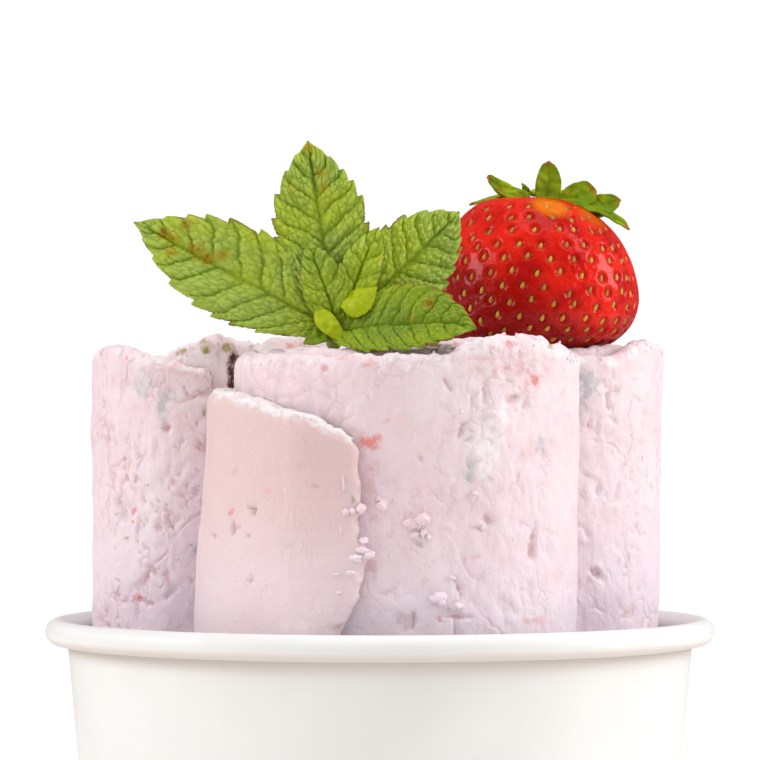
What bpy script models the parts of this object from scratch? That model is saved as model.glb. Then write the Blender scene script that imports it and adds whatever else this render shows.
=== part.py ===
"""Rolled ice cream standing in a paper cup, with a mint sprig and a strawberry on top.

Metres, +Z up. The origin is on the cup's axis, at the table, and the front of the cup faces -Y.
Angles are seen from above, anticlockwise from +X. The sheets of ice cream are rolled up clockwise.
"""

from math import acos, cos, pi, radians, sin, sqrt

import bmesh
import bpy
from mathutils import Matrix, Vector, noise

MM = 0.001
GAP = 0.3 * MM  # between pieces that lie against each other

# Paper cup with a rolled rim and a base disc held in the folded foot
CUP_HEIGHT = 62 * MM
RIM_RADIUS = 49.75 * MM
BEAD_RADIUS = 1.85 * MM
BEAD_SWEEP = radians(295)
PAPER = 0.55 * MM
WALL_SLOPE = 0.093
FLOOR_HEIGHT = 7 * MM
FOOT_FOLD = 5.5 * MM
CUP_FACETS = 44
BEAD_FACETS = 7

# Sheets of ice cream
SHEET = 3.0 * MM
SHEET_PITCH = 3.8 * MM
FACETS_A_TURN = 18
TORN_EDGE = 9 * MM  # length over which a torn end grows to the full thickness
TORN_THICKNESS = 0.4
RELIEF = 0.3 * MM
RELIEF_SPACING = 9 * MM
LEVELS = 5

# Strawberry
BERRY_WAIST = Vector((23.8, 8.5, 109.2)) * MM  # centre of its widest ring
BERRY_RADIUS = 15.3 * MM
BERRY_UPPER = 16.8 * MM
BERRY_LOWER = 8.3 * MM
BERRY_SHOULDER = 2.2  # exponent of the outline's upper part, 2 for an ellipse
BERRY_BLUNTNESS = 2.8  # and of its lower part
BERRY_LEAN = 0.2  # how far the lower end stands to the left, for each unit below the waist
BERRY_DIMPLE = 1.2 * MM
CALYX_SEAT = Vector((25.9, 9.5, 126.6)) * MM
CALYX_TILT = radians(6)
SEED_SIZE = Vector((0.45, 0.62, 0.4)) * MM
SEED_COUNT = 52
GOLDEN_ANGLE = pi * (3 - sqrt(5))

# Mint and calyx leaves
LEAF_THICKNESS = 0.5 * MM
STEM_RADIUS = 1.1 * MM
SPRIG_BASE = Vector((-6.6, -29.0, 104.4)) * MM

WALL_TOP = CUP_HEIGHT - BEAD_RADIUS  # height of the bead's centre
CURL_RADIUS = BEAD_RADIUS - PAPER / 2
BEAD_RING = RIM_RADIUS - BEAD_RADIUS


def clear_scene():
    for obj in list(bpy.data.objects):
        bpy.data.objects.remove(obj)


def new_collection(name):
    collection = bpy.data.collections.new(name)
    bpy.context.scene.collection.children.link(collection)
    return collection


def material(name, colour, roughness):
    made = bpy.data.materials.new(name)
    made.use_nodes = True
    shader = made.node_tree.nodes["Principled BSDF"]
    shader.inputs["Base Color"].default_value = (*colour, 1)
    shader.inputs["Roughness"].default_value = roughness
    shader.inputs["Metallic"].default_value = 0
    return made


def add_object(name, mesh, collection, surface=None):
    obj = bpy.data.objects.new(name, mesh)
    collection.objects.link(obj)
    if surface:
        mesh.materials.append(surface)
    mesh.shade_smooth()
    mesh.set_sharp_from_angle(angle=radians(40))
    return obj


def between(points, value):
    """Height at a value along an outline of (value, height) points, eased from point to point."""
    if value <= points[0][0]:
        return points[0][1]
    for (start, low), (end, high) in zip(points, points[1:]):
        if value <= end:
            part = (value - start) / (end - start)
            return low + (high - low) * part * part * (3 - 2 * part)
    return points[-1][1]


def roughness_at(point, spacing, seed):
    """Smooth unevenness from -1 to 1 at a place in the piece."""
    return noise.noise(Vector(point) / spacing + Vector((seed, 0, 0)))


# Cup

def wall_radius(height):
    """Radius of the middle of the paper at a height."""
    return BEAD_RING - CURL_RADIUS - WALL_SLOPE * (WALL_TOP - height)


def inside_radius(height):
    return wall_radius(height) - PAPER / 2


def turned(name, profile, closed, surface, collection):
    """A profile of (radius, height) points turned round the cup's axis."""
    mesh = bpy.data.meshes.new(name)
    count = len(profile)
    edges = [(i, (i + 1) % count) for i in range(count if closed else count - 1)]
    mesh.from_pydata([(radius, 0, height) for radius, height in profile], edges, [])
    obj = add_object(name, mesh, collection, surface)
    screw = obj.modifiers.new("Turned", "SCREW")
    screw.steps = CUP_FACETS
    screw.render_steps = CUP_FACETS
    screw.use_merge_vertices = True
    screw.merge_threshold = 0.0001 * MM
    return obj


def bead_arc(radius):
    """Section of the rolled rim, from the wall over the top and round, at one side of the paper."""
    angles = [pi - BEAD_SWEEP * i / BEAD_FACETS for i in range(BEAD_FACETS + 1)]
    return [(BEAD_RING + radius * cos(a), WALL_TOP + radius * sin(a)) for a in angles]


def cup_wall(collection):
    """Sleeve with its rim rolled outwards and its foot folded in round the base's flange."""
    fold_out = wall_radius(0) - PAPER / 2 - GAP - PAPER - GAP
    fold_in = fold_out - PAPER
    lean = WALL_SLOPE * FOOT_FOLD
    foot = [
        (wall_radius(0) + PAPER / 2, 0),
        (fold_in, 0),
        (fold_in + lean, FOOT_FOLD),
        (fold_out + lean, FOOT_FOLD),
        (fold_out, PAPER),
        (inside_radius(PAPER), PAPER),
    ]
    profile = bead_arc(CURL_RADIUS - PAPER / 2)[::-1] + foot + bead_arc(BEAD_RADIUS)
    return turned("cup_wall", profile, True, material("white_paper", (0.9, 0.89, 0.87), 0.6), collection)


def cup_base(collection):
    """Disc of the base, with its edge turned down into the fold of the foot."""
    flange_foot = PAPER + GAP
    outer_top = inside_radius(FLOOR_HEIGHT) - GAP
    outer_foot = inside_radius(flange_foot) - GAP
    profile = [
        (0, FLOOR_HEIGHT),
        (outer_top - PAPER, FLOOR_HEIGHT),
        (outer_top - PAPER / 4, FLOOR_HEIGHT - PAPER),
        (outer_foot, flange_foot),
        (outer_foot - PAPER, flange_foot),
        (outer_top - 1.6 * PAPER, FLOOR_HEIGHT - PAPER),
        (0, FLOOR_HEIGHT - PAPER),
    ]
    return turned("cup_base", profile, False, material("base_paper", (0.9, 0.89, 0.87), 0.6), collection)


# Rolls

def berry_underside(x, y):
    """Height of the strawberry's underside over a place, or None beside it."""
    foot = BERRY_WAIST.xy - Vector((BERRY_LEAN * BERRY_LOWER, 0))
    out = (Vector((x, y)) - foot).length / (BERRY_RADIUS + 2 * GAP)
    if out >= 0.98:
        return None
    return BERRY_WAIST.z - BERRY_LOWER * (1 - out**BERRY_BLUNTNESS) ** (1 / BERRY_BLUNTNESS)


def rolled_sheet(name, centre, half_size, free_end, turns, top, lean, seed, surface, collection):
    """A flat sheet rolled up clockwise from its free end, standing on the floor of the cup.

    half_size is the roll's half width and half depth at the free end, top the height of its upper
    edge over the angle rolled from there, and lean how far the top stands out from the rim's place.
    """
    columns = round(turns * FACETS_A_TURN)
    floor = FLOOR_HEIGHT + GAP
    rolled = 2 * pi * turns
    sheet = bmesh.new()
    bmesh.ops.create_grid(sheet, x_segments=columns, y_segments=LEVELS, size=0.5)
    thickness = sheet.verts.layers.deform.new()
    for vertex in sheet.verts:
        swept = (vertex.co.x + 0.5) * rolled
        level = round((vertex.co.y + 0.5) * LEVELS)
        inward = SHEET / 2 + SHEET_PITCH * swept / (2 * pi)
        across = half_size[0] * MM - inward
        along = half_size[1] * MM - inward
        angle = radians(free_end) - swept
        x = centre[0] * MM + across * cos(angle)
        y = centre[1] * MM + along * sin(angle)
        edge = between(top, swept * 180 / pi) * MM
        edge += 2 * RELIEF * roughness_at((x, y, 0), RELIEF_SPACING / 2, seed)
        under = berry_underside(x, y)
        if under:
            edge = min(edge, under - 3 * GAP)
        height = floor if level == 0 else WALL_TOP + (edge - WALL_TOP) * (level - 1) / (LEVELS - 1)
        bump = RELIEF * roughness_at((x, y, height), RELIEF_SPACING, seed) if level else 0
        shrink = min(1, inside_radius(height) / inside_radius(WALL_TOP))
        shift = max(0, (height - WALL_TOP) / (edge - WALL_TOP))
        vertex.co.x = shrink * (x + bump * cos(angle)) + lean[0] * MM * shift
        vertex.co.y = shrink * (y + bump * sin(angle)) + lean[1] * MM * shift
        vertex.co.z = height
        reach = min(1, swept * (across + along) / 2 / TORN_EDGE)
        vertex[thickness][0] = TORN_THICKNESS + (1 - TORN_THICKNESS) * reach
    mesh = bpy.data.meshes.new(name)
    sheet.to_mesh(mesh)
    sheet.free()
    obj = add_object(name, mesh, collection, surface)
    obj.vertex_groups.new(name="thickness")
    solid = obj.modifiers.new("Sheet", "SOLIDIFY")
    solid.thickness = SHEET
    solid.offset = 0
    solid.use_even_offset = True
    solid.vertex_group = "thickness"
    return obj


def rolls(collection):
    """Four rolls side by side. The back one can't be seen from the front."""
    pink = material("strawberry_ice_cream", (0.86, 0.69, 0.71), 0.55)
    front_top = [
        (0, 88.2), (12, 90), (40, 92.4), (78, 95.8), (130, 99.4), (200, 100.8), (258, 101),
        (280, 102.8), (308, 103), (326, 99.4), (345, 98.2), (372, 98.3), (392, 100), (438, 101.3),
        (470, 100.8),
    ]
    left_top = [
        (0, 99.2), (28, 100.6), (60, 102.9), (92, 101.8), (180, 102.2), (270, 103), (360, 101.4),
        (420, 103.6), (520, 102.8),
    ]
    right_top = [(0, 102.6), (100, 102.9), (136, 103.3), (154, 101.1), (240, 101), (330, 102.4)]
    back_top = [(0, 101.6), (180, 102.4), (360, 101.8)]
    rolled_sheet("roll_front", (2.55, -23.7), (28.2, 21.4), -102, 4.1, front_top, (0.4, 0.2), 3, pink, collection)
    rolled_sheet("roll_left", (-24.5, 9.6), (20.0, 20.0), -91, 3.4, left_top, (0, 0), 11, pink, collection)
    rolled_sheet("roll_right", (23.6, 10.4), (19.8, 19.8), 100, 3.4, right_top, (0.9, 0), 19, pink, collection)
    rolled_sheet("roll_back", (-0.4, 32.0), (13.4, 13.0), 150, 2.1, back_top, (0, 0), 27, pink, collection)


# Leaves

def leaf(name, base, tip, facing, half_width, collection, arch=0.1, fold=0.25, teeth=6, blunt=0.0):
    """A leaf from base to tip whose upper face looks towards facing: a thin, wavy solid.

    arch lifts its middle by a part of its length, fold raises its sides by a part of their width,
    and blunt widens it towards its base.
    """
    spine = tip - base
    length = spine.length
    along = spine.normalized()
    up = (facing - along * facing.dot(along)).normalized()
    across = up.cross(along)
    rows = max(4, 2 * teeth)
    sheet = bmesh.new()
    bmesh.ops.create_grid(sheet, x_segments=rows, y_segments=4 if teeth else 2, size=0.5)
    for vertex in sheet.verts:
        part = vertex.co.x + 0.5
        side = 2 * vertex.co.y
        row = round(part * rows)
        shape = sin(pi * min(1, 0.06 + 0.93 * part ** (1 - blunt))) ** 0.8
        notch = 0.1 if teeth and row % 2 and abs(side) > 0.9 else 0
        width = side * half_width * shape * (1 - notch)
        lift = arch * length * sin(pi * part) + fold * abs(width)
        wave = 0.5 * MM * roughness_at((part * 6, side * 1.5, length / MM), 1, 5) * shape
        vertex.co = base + along * length * part + across * width + up * (lift + wave)
    bmesh.ops.triangulate(sheet, faces=sheet.faces)
    bmesh.ops.recalc_face_normals(sheet, faces=sheet.faces)
    mesh = bpy.data.meshes.new(name)
    sheet.to_mesh(mesh)
    sheet.free()
    obj = add_object(name, mesh, collection)
    solid = obj.modifiers.new("Blade", "SOLIDIFY")
    solid.thickness = LEAF_THICKNESS
    solid.offset = 0
    return obj


def joined(obj, pieces):
    """The object's mesh becomes its union with the objects of a collection, which are removed."""
    union = obj.modifiers.new("Joined", "BOOLEAN")
    union.operation = "UNION"
    union.operand_type = "COLLECTION"
    union.collection = pieces
    union.solver = "MANIFOLD"
    bpy.context.view_layer.update()
    graph = bpy.context.evaluated_depsgraph_get()
    mesh = bpy.data.meshes.new_from_object(obj.evaluated_get(graph))
    obj.modifiers.clear()
    obj.data = mesh
    for piece in list(pieces.objects):
        bpy.data.objects.remove(piece)
    bpy.data.collections.remove(pieces)
    mesh.shade_smooth()
    mesh.set_sharp_from_angle(angle=radians(40))


def ball(name, centre, radii, collection, surface=None, segments=10, rings=6):
    shape = bmesh.new()
    bmesh.ops.create_uvsphere(shape, u_segments=segments, v_segments=rings, radius=1)
    bmesh.ops.scale(shape, vec=radii, verts=shape.verts)
    mesh = bpy.data.meshes.new(name)
    shape.to_mesh(mesh)
    shape.free()
    obj = add_object(name, mesh, collection, surface)
    obj.location = centre
    return obj


def mint_sprig(collection):
    """Tip of a mint stem: two pairs of large leaves, two small ones and a bud, leaning back."""
    green = material("mint_leaf", (0.16, 0.33, 0.03), 0.5)
    leaves = new_collection("mint_leaves")
    base = SPRIG_BASE
    heart = ball("mint_sprig", base, Vector((1.9, 1.6, 2.4)) * MM, collection, green)
    view = Vector((0, -1, 0.25))
    leaf("left", base + Vector((0.4, 0.6, -0.5)) * MM, Vector((-35.2, -21, 119.6)) * MM,
         Vector((-0.1, -1, 0.3)), 7.3 * MM, leaves, arch=0.05)
    leaf("upright", base + Vector((0.2, 1.0, 0.8)) * MM, Vector((-10.4, -20, 131.3)) * MM,
         view, 6.9 * MM, leaves, arch=0.03)
    leaf("right", base + Vector((0.6, 1.0, 0.8)) * MM, Vector((11.4, -20, 121.2)) * MM,
         Vector((0.2, -1, 0.0)), 5.7 * MM, leaves, arch=0.06)
    leaf("low", base + Vector((0.2, -1.6, -1.0)) * MM, Vector((12.8, -36.5, 104.2)) * MM,
         Vector((0.1, -1, 0.9)), 5.6 * MM, leaves, arch=0.03)
    leaf("small_left", base + Vector((0.4, -1.0, 0)) * MM, Vector((-10.2, -27, 116.2)) * MM,
         view, 2.7 * MM, leaves, arch=0.12, teeth=3)
    leaf("small_right", base + Vector((1.0, -0.6, 0.4)) * MM, Vector((-0.6, -27, 117.6)) * MM,
         view, 2.6 * MM, leaves, arch=0.1, teeth=3)
    ball("bud", base + Vector((3.0, -2.6, 4.0)) * MM, Vector((2.3, 1.7, 2.5)) * MM, leaves)
    ball("stem", base + Vector((0, 2.5, 0.4)) * MM, Vector((STEM_RADIUS, 5 * MM, STEM_RADIUS)), leaves)
    joined(heart, leaves)


def berry_profile(part):
    """(radius, height) of the strawberry's outline, part 0 at the calyx and 1 at the tip."""
    upper = part < 0.5
    power = 2 / (BERRY_SHOULDER if upper else BERRY_BLUNTNESS)
    radius = BERRY_RADIUS * max(0, sin(pi * part)) ** power
    height = (BERRY_UPPER if upper else -BERRY_LOWER) * abs(cos(pi * part)) ** power
    return radius, height - BERRY_DIMPLE * max(0, 1 - part / 0.17) ** 2


def strawberry(collection):
    """A broad berry turned about its own axis, with its largest seeds standing out."""
    red = material("strawberry_skin", (0.55, 0.012, 0.01), 0.3)
    seeds = new_collection("seeds")
    rings, steps = 12, 24
    mesh = bpy.data.meshes.new("strawberry")
    profile = [berry_profile(i / rings) for i in range(rings + 1)]
    edges = [(i, i + 1) for i in range(rings)]
    mesh.from_pydata([(radius, 0, height) for radius, height in profile], edges, [])
    berry = add_object("strawberry", mesh, collection, red)
    screw = berry.modifiers.new("Turned", "SCREW")
    screw.steps = steps
    screw.render_steps = steps
    screw.use_merge_vertices = True
    screw.merge_threshold = 0.01 * MM
    for i in range(SEED_COUNT):
        part = acos(0.68 - 1.56 * (i + 0.5) / SEED_COUNT) / pi
        angle = i * GOLDEN_ANGLE
        radius, height = berry_profile(part)
        ahead = Vector(berry_profile(part + 0.01)) - Vector((radius, height))
        outward = Vector((-ahead.y * cos(angle), -ahead.y * sin(angle), ahead.x))
        seed = ball(f"seed_{i}", (0, 0, 0), SEED_SIZE, seeds, segments=5, rings=4)
        seat = Vector((radius * cos(angle), radius * sin(angle), height))
        seed.matrix_world = Matrix.Translation(seat) @ outward.to_track_quat("Z", "Y").to_matrix().to_4x4()
    joined(berry, seeds)
    for vertex in berry.data.vertices:
        vertex.co.x += BERRY_LEAN * min(0, vertex.co.z)
    berry.location = BERRY_WAIST


def calyx(collection):
    """Green star of narrow sepals on the strawberry, some lying on its shoulder, some standing up."""
    green = material("calyx_leaf", (0.14, 0.28, 0.03), 0.5)
    sepals = new_collection("sepals")
    disc = ball("strawberry_calyx", (0, 0, 0), Vector((2.6, 2.6, 0.7)) * MM, collection, green, segments=10, rings=5)
    # (direction, reach, rise of the tip, half width)
    star = [
        (232, 1.4, 4.7, 1.9), (335, 7.4, 2.0, 1.5), (15, 11.0, 0.2, 1.3), (350, 12.4, -3.9, 1.3),
        (75, 9.5, -1.6, 1.6), (118, 6.5, 0.8, 0.9), (195, 9.9, 1.6, 1.2), (165, 12.0, -2.4, 1.2),
        (216, 8.6, 0.2, 1.0),
    ]
    for i, (direction, reach, rise, half_width) in enumerate(star):
        way = Vector((cos(radians(direction)), sin(radians(direction)), 0))
        tip = (way * reach + Vector((0, 0, rise))) * MM
        facing = -way if rise > reach else Vector((0, -0.6, 1)) if rise > 0 else way * 0.3 + Vector((0, 0, 1))
        leaf(f"sepal_{i}", way * 0.8 * MM, tip, facing, half_width * MM, sepals, arch=0.04, teeth=0)
    joined(disc, sepals)
    disc.matrix_world = Matrix.Translation(CALYX_SEAT) @ Matrix.Rotation(CALYX_TILT, 4, "Y")


def main():
    clear_scene()
    dessert = new_collection("rolled_ice_cream")
    cup_wall(dessert)
    cup_base(dessert)
    rolls(dessert)
    mint_sprig(dessert)
    strawberry(dessert)
    calyx(dessert)


main()
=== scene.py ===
"""Rolled ice cream in a paper cup, with a mint sprig and a strawberry on top.

Metres, Z up, and the front of the cup faces -Y. Sizes and places named below are in millimetres
until they are put into a mesh.
"""

from math import atan, cos, degrees, pi, radians, sin, sqrt

import bpy
import numpy as np
from mathutils import Matrix, Vector, noise


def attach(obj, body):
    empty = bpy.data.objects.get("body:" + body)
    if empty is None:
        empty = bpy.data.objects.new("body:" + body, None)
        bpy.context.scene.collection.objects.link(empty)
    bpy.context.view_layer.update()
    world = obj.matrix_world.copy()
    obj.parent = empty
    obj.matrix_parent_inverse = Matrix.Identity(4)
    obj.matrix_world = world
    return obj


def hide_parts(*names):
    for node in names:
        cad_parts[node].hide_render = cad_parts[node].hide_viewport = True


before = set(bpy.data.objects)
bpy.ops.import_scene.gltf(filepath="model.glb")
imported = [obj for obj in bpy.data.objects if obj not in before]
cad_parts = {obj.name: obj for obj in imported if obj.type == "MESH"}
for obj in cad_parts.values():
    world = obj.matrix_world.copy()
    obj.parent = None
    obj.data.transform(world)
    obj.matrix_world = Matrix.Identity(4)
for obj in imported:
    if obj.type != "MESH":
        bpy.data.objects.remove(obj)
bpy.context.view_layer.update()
bpy.ops.object.select_all(action="DESELECT")
MM = 0.001

# Camera
# It stands half a metre in front of the cup, a little below the tops of the rolls, and looks
# very slightly up, so the rolls hide their own open tops.

FOCAL_PIXELS = 3349
HORIZON_BELOW_MIDDLE = 64
FRAME_PIXELS = 760
SENSOR_WIDTH = 36
EYE = (0, -0.5, 0.0878)
look_up = atan(HORIZON_BELOW_MIDDLE / FOCAL_PIXELS)
bpy.ops.object.camera_add(location=EYE, rotation=(radians(90) + look_up, 0, 0))
camera = bpy.context.object
camera.data.sensor_width = SENSOR_WIDTH
camera.data.lens = SENSOR_WIDTH * FOCAL_PIXELS / FRAME_PIXELS
camera.data.clip_start = 0.01
bpy.context.scene.camera = camera

# Studio
# White all round, but dim in reflections as if dark screens stood there, two soft lights on each
# side of the cup and one above it, and a pale floor that ends before it would show behind.

LIGHTS_LEVEL = 0.75
LIT_MIDDLE = Vector((0, 0, 0.08))
SKY, SKY_SEEN, SKY_REFLECTED = 0.73, 1.05, 0.16
FLOOR_SIZE = 0.84
world = bpy.data.worlds.new("white_studio")
bpy.context.scene.world = world
world.use_nodes = True
sky = world.node_tree.nodes["Background"]
sky.inputs["Color"].default_value = (1, 1, 1, 1)
ray = world.node_tree.nodes.new("ShaderNodeLightPath")
strength = None
for kind, level in (("Is Camera Ray", SKY_SEEN), ("Is Glossy Ray", SKY_REFLECTED)):
    change = world.node_tree.nodes.new("ShaderNodeMath")
    change.operation = "MULTIPLY_ADD"
    change.inputs[1].default_value = level - SKY
    change.inputs[2].default_value = SKY
    world.node_tree.links.new(ray.outputs[kind], change.inputs[0])
    if strength:
        world.node_tree.links.new(strength, change.inputs[2])
    strength = change.outputs[0]
world.node_tree.links.new(strength, sky.inputs["Strength"])
bpy.context.scene.view_settings.view_transform = "Standard"


def soft_light(name, place, size, power):
    """A square light that faces the middle of the ice cream."""
    bpy.ops.object.light_add(type="AREA", location=place)
    lamp = bpy.context.object
    lamp.name = name
    lamp.rotation_euler = (Vector(place) - LIT_MIDDLE).to_track_quat("Z", "Y").to_euler()
    lamp.data.size = size
    lamp.data.energy = power * LIGHTS_LEVEL


soft_light("left_light", (-0.62, -0.10, 0.35), 0.26, 1.9)
soft_light("left_front_light", (-0.53, -0.34, 0.40), 0.16, 0.35)
soft_light("right_light", (0.62, -0.04, 0.32), 0.26, 2.4)
soft_light("right_high_light", (0.45, -0.15, 0.62), 0.18, 0.6)
soft_light("top_light", (0.05, -0.05, 0.75), 0.4, 1.2)

bpy.ops.mesh.primitive_plane_add(size=FLOOR_SIZE)
floor = bpy.context.object
floor.name = "floor"
floor_finish = bpy.data.materials.new("pale_floor")
floor_finish.use_nodes = True
floor_shader = floor_finish.node_tree.nodes["Principled BSDF"]
floor_shader.inputs["Base Color"].default_value = (0.86, 0.81, 0.76, 1)
floor_shader.inputs["Roughness"].default_value = 0.7
floor.data.materials.append(floor_finish)


# Cup wall
# A sleeve of white coated paper, glued along a lap at the back, with its rim rolled outwards into
# a bead and its foot folded in round the base.

CUP_HEIGHT = 62
RIM_RADIUS = 49.75
BEAD_RADIUS = 1.85
BEAD_SWEEP = 295
PAPER = 0.55
WALL_SLOPE = 0.093
FLOOR_HEIGHT = 7
FOOT_FOLD = 5.5
FOLD_GAP = 0.6
FOOT_ROUND_IN, FOOT_ROUND_UP = 0.2, 0.35
WALL_ROWS = (6, 12, 20, 30, 40, 48, 56)
BEAD_FACETS = 18
CUP_FACETS = 144
BEAD_FOOT = 58
LAP_FROM, LAP_TO = 122, 133
LAP_STEP = 0.22
PAPER_WAVE = 0.06
WALL_TOP = CUP_HEIGHT - BEAD_RADIUS
BEAD_RING = RIM_RADIUS - BEAD_RADIUS


def wall_radius(height):
    """Radius of the middle of the paper at a height."""
    return BEAD_RING - BEAD_RADIUS + PAPER / 2 - WALL_SLOPE * (WALL_TOP - height)


def spun(name, profile, steps):
    """A profile of (radius, height) turned round the cup's axis."""
    first = profile[0]
    bpy.ops.mesh.primitive_plane_add(size=MM, location=(first[0] * MM, 0, first[1] * MM))
    piece = bpy.context.object
    piece.name = name
    bpy.ops.object.mode_set(mode="EDIT")
    bpy.ops.mesh.select_all(action="SELECT")
    bpy.ops.mesh.merge(type="CENTER")
    for (radius, height), (next_radius, next_height) in zip(profile, profile[1:]):
        step = ((next_radius - radius) * MM, 0, (next_height - height) * MM)
        bpy.ops.mesh.extrude_region_move(TRANSFORM_OT_translate={"value": step})
    bpy.ops.mesh.select_all(action="SELECT")
    bpy.ops.mesh.spin(steps=steps, angle=2 * pi, center=(0, 0, 0), axis=(0, 0, 1))
    bpy.ops.mesh.select_all(action="SELECT")
    bpy.ops.mesh.remove_doubles(threshold=0.001 * MM)
    bpy.ops.mesh.normals_make_consistent(inside=False)
    bpy.ops.object.mode_set(mode="OBJECT")
    bpy.ops.object.transform_apply(location=True, rotation=True, scale=True)
    bpy.ops.object.shade_smooth_by_angle(angle=radians(35))
    return piece


def bead_arc(radius):
    angles = [pi - radians(BEAD_SWEEP) * i / BEAD_FACETS for i in range(BEAD_FACETS + 1)]
    return [(BEAD_RING + radius * cos(a), WALL_TOP + radius * sin(a)) for a in angles]


outer_rows = [(wall_radius(h) + PAPER / 2, h) for h in (*WALL_ROWS[::-1], 2, FOOT_ROUND_UP)]
inner_rows = [(wall_radius(h) - PAPER / 2, h) for h in (PAPER, *WALL_ROWS)]
fold_out = wall_radius(0) - 1.5 * PAPER - FOLD_GAP
fold_in = fold_out - PAPER
lean_in = WALL_SLOPE * FOOT_FOLD
foot_rows = [
    (wall_radius(0) + PAPER / 2 - FOOT_ROUND_IN, 0),
    (fold_in, 0),
    (fold_in + lean_in, FOOT_FOLD),
    (fold_out + lean_in, FOOT_FOLD),
    (fold_out, PAPER),
]
section = bead_arc(BEAD_RADIUS - PAPER)[::-1] + outer_rows + foot_rows + inner_rows
section += bead_arc(BEAD_RADIUS)
cup = spun("paper_cup", section + section[:1], CUP_FACETS)
for corner in cup.data.vertices:
    around = degrees(np.arctan2(corner.co.y, corner.co.x))
    out = Vector((corner.co.x, corner.co.y, 0)).normalized()
    outside = corner.co.xy.length > (wall_radius(corner.co.z / MM) + 0.1) * MM
    if LAP_FROM < around < LAP_TO and (outside or corner.co.z > BEAD_FOOT * MM):
        corner.co += out * LAP_STEP * MM
    wobble = noise.noise(Vector((out.x, out.y, corner.co.z * 9)) * 1.7)
    corner.co -= out * PAPER_WAVE * MM * (1 + wobble)


class Finish:
    """A procedural material: patterns laid over one another, in metres of the piece itself."""

    def __init__(self, name, roughness, specular):
        self.material = bpy.data.materials.new(name)
        self.material.use_nodes = True
        self.tree = self.material.node_tree
        self.shader = self.tree.nodes["Principled BSDF"]
        self.shader.inputs["Roughness"].default_value = roughness
        self.shader.inputs["Specular IOR Level"].default_value = specular
        self.place = self.tree.nodes.new("ShaderNodeTexCoord").outputs["Object"]

    def node(self, kind, settings=None, **inputs):
        """A node with its inputs set by name; a socket as value is linked."""
        made = self.tree.nodes.new(kind)
        for key, value in (settings or {}).items():
            setattr(made, key, value)
        for key, value in inputs.items():
            self.fill(made.inputs[key.replace("_", " ")], value)
        return made

    def fill(self, socket, value):
        if isinstance(value, bpy.types.NodeSocket):
            self.tree.links.new(value, socket)
        else:
            socket.default_value = value

    def noise(self, scale, detail=3.0, roughness=0.55, at=None):
        made = self.node("ShaderNodeTexNoise", Scale=scale, Detail=detail, Roughness=roughness)
        self.tree.links.new(at or self.place, made.inputs["Vector"])
        return made.outputs["Fac"]

    def cells(self, scale, at, feature="F1"):
        return self.node("ShaderNodeTexVoronoi", {"feature": feature}, Vector=at, Scale=scale)

    def spread(self, value, low, high, to_low=0.0, to_high=1.0):
        """The value eased from the range low to high on to another range."""
        made = self.node(
            "ShaderNodeMapRange", {"interpolation_type": "SMOOTHSTEP"},
            Value=value, From_Min=low, From_Max=high, To_Min=to_low, To_Max=to_high,
        )
        return made.outputs["Result"]

    def maths(self, operation, a, b):
        made = self.node("ShaderNodeMath", {"operation": operation})
        self.fill(made.inputs[0], a)
        self.fill(made.inputs[1], b)
        return made.outputs[0]

    def times(self, a, b):
        return self.maths("MULTIPLY", a, b)

    def blend(self, share, under, over):
        made = self.node("ShaderNodeMix", {"data_type": "RGBA"})
        for index, value in ((0, share), (6, under), (7, over)):
            value = (*value, 1) if isinstance(value, tuple) else value
            self.fill(made.inputs[index], value)
        return made.outputs[2]

    def painted(self, name):
        return self.node("ShaderNodeAttribute", {"attribute_name": name}).outputs["Fac"]

    def wander(self, scale, reach):
        """The place pushed about by noise, so that what is drawn there loses its roundness."""
        push = self.node("ShaderNodeTexNoise", Vector=self.place, Scale=scale, Detail=2.0)
        moved = self.node("ShaderNodeVectorMath", {"operation": "MULTIPLY_ADD"})
        pushed = (push.outputs["Color"], (reach, reach, reach), self.place)
        for socket, value in zip(moved.inputs, pushed):
            self.fill(socket, value)
        return moved.outputs[0]

    def relief(self, height, depth, strength, after=None):
        made = self.node("ShaderNodeBump", Height=height, Distance=depth, Strength=strength)
        if after:
            self.tree.links.new(after, made.inputs["Normal"])
        return made.outputs["Normal"]

    def done(self, colour, normal, roughness=None):
        self.fill(self.shader.inputs["Base Color"], colour)
        self.fill(self.shader.inputs["Normal"], normal)
        if roughness:
            self.fill(self.shader.inputs["Roughness"], roughness)
        return self.material


def paper_finish():
    """White coated paper, with the bead's shadow painted on it as a darker, warmer band under the bead.
    """
    paper = Finish("white_paper", 0.42, 0.4)
    fibres = paper.noise(900, 4, 0.7)
    cloud = paper.noise(70, 2)
    colour = paper.blend(paper.spread(cloud, 0.3, 0.7), (0.845, 0.84, 0.835), (0.875, 0.872, 0.868))
    height = paper.node("ShaderNodeSeparateXYZ", Vector=paper.place).outputs["Z"]
    # Painted shadow: the wall just under the bead is tinted darker and warmer, where the bead shades
    # it.
    bead_shadow_foot = paper.spread(height, 0.0555, 0.058, 0, 0.65)
    bead_shadow_top = paper.spread(height, 0.0588, 0.0598, 1, 0)
    colour = paper.blend(paper.times(bead_shadow_foot, bead_shadow_top), colour, (0.70, 0.62, 0.56))
    fine = paper.relief(fibres, 0.00004, 0.35)
    broad = paper.relief(cloud, 0.0004, 0.12, fine)
    return paper.done(colour, broad, paper.spread(fibres, 0.3, 0.7, 0.36, 0.5))


white_paper = paper_finish()
cup.data.materials.append(white_paper)
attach(cup, "root")
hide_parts("cup_wall")

# Cup base
# A disc of the same paper, its edge turned down into the fold of the foot. It stays as it is in
# the model and takes the paper's finish.

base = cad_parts["cup_base"]
base.data.materials.clear()
base.data.materials.append(white_paper)

# Rolls
# Strawberry ice cream, frozen flat on a cold plate and scraped up into rolls that stand in the
# cup. Each is one sheet, smooth where it froze to the plate, with torn ends and pressed flakes.

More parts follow.
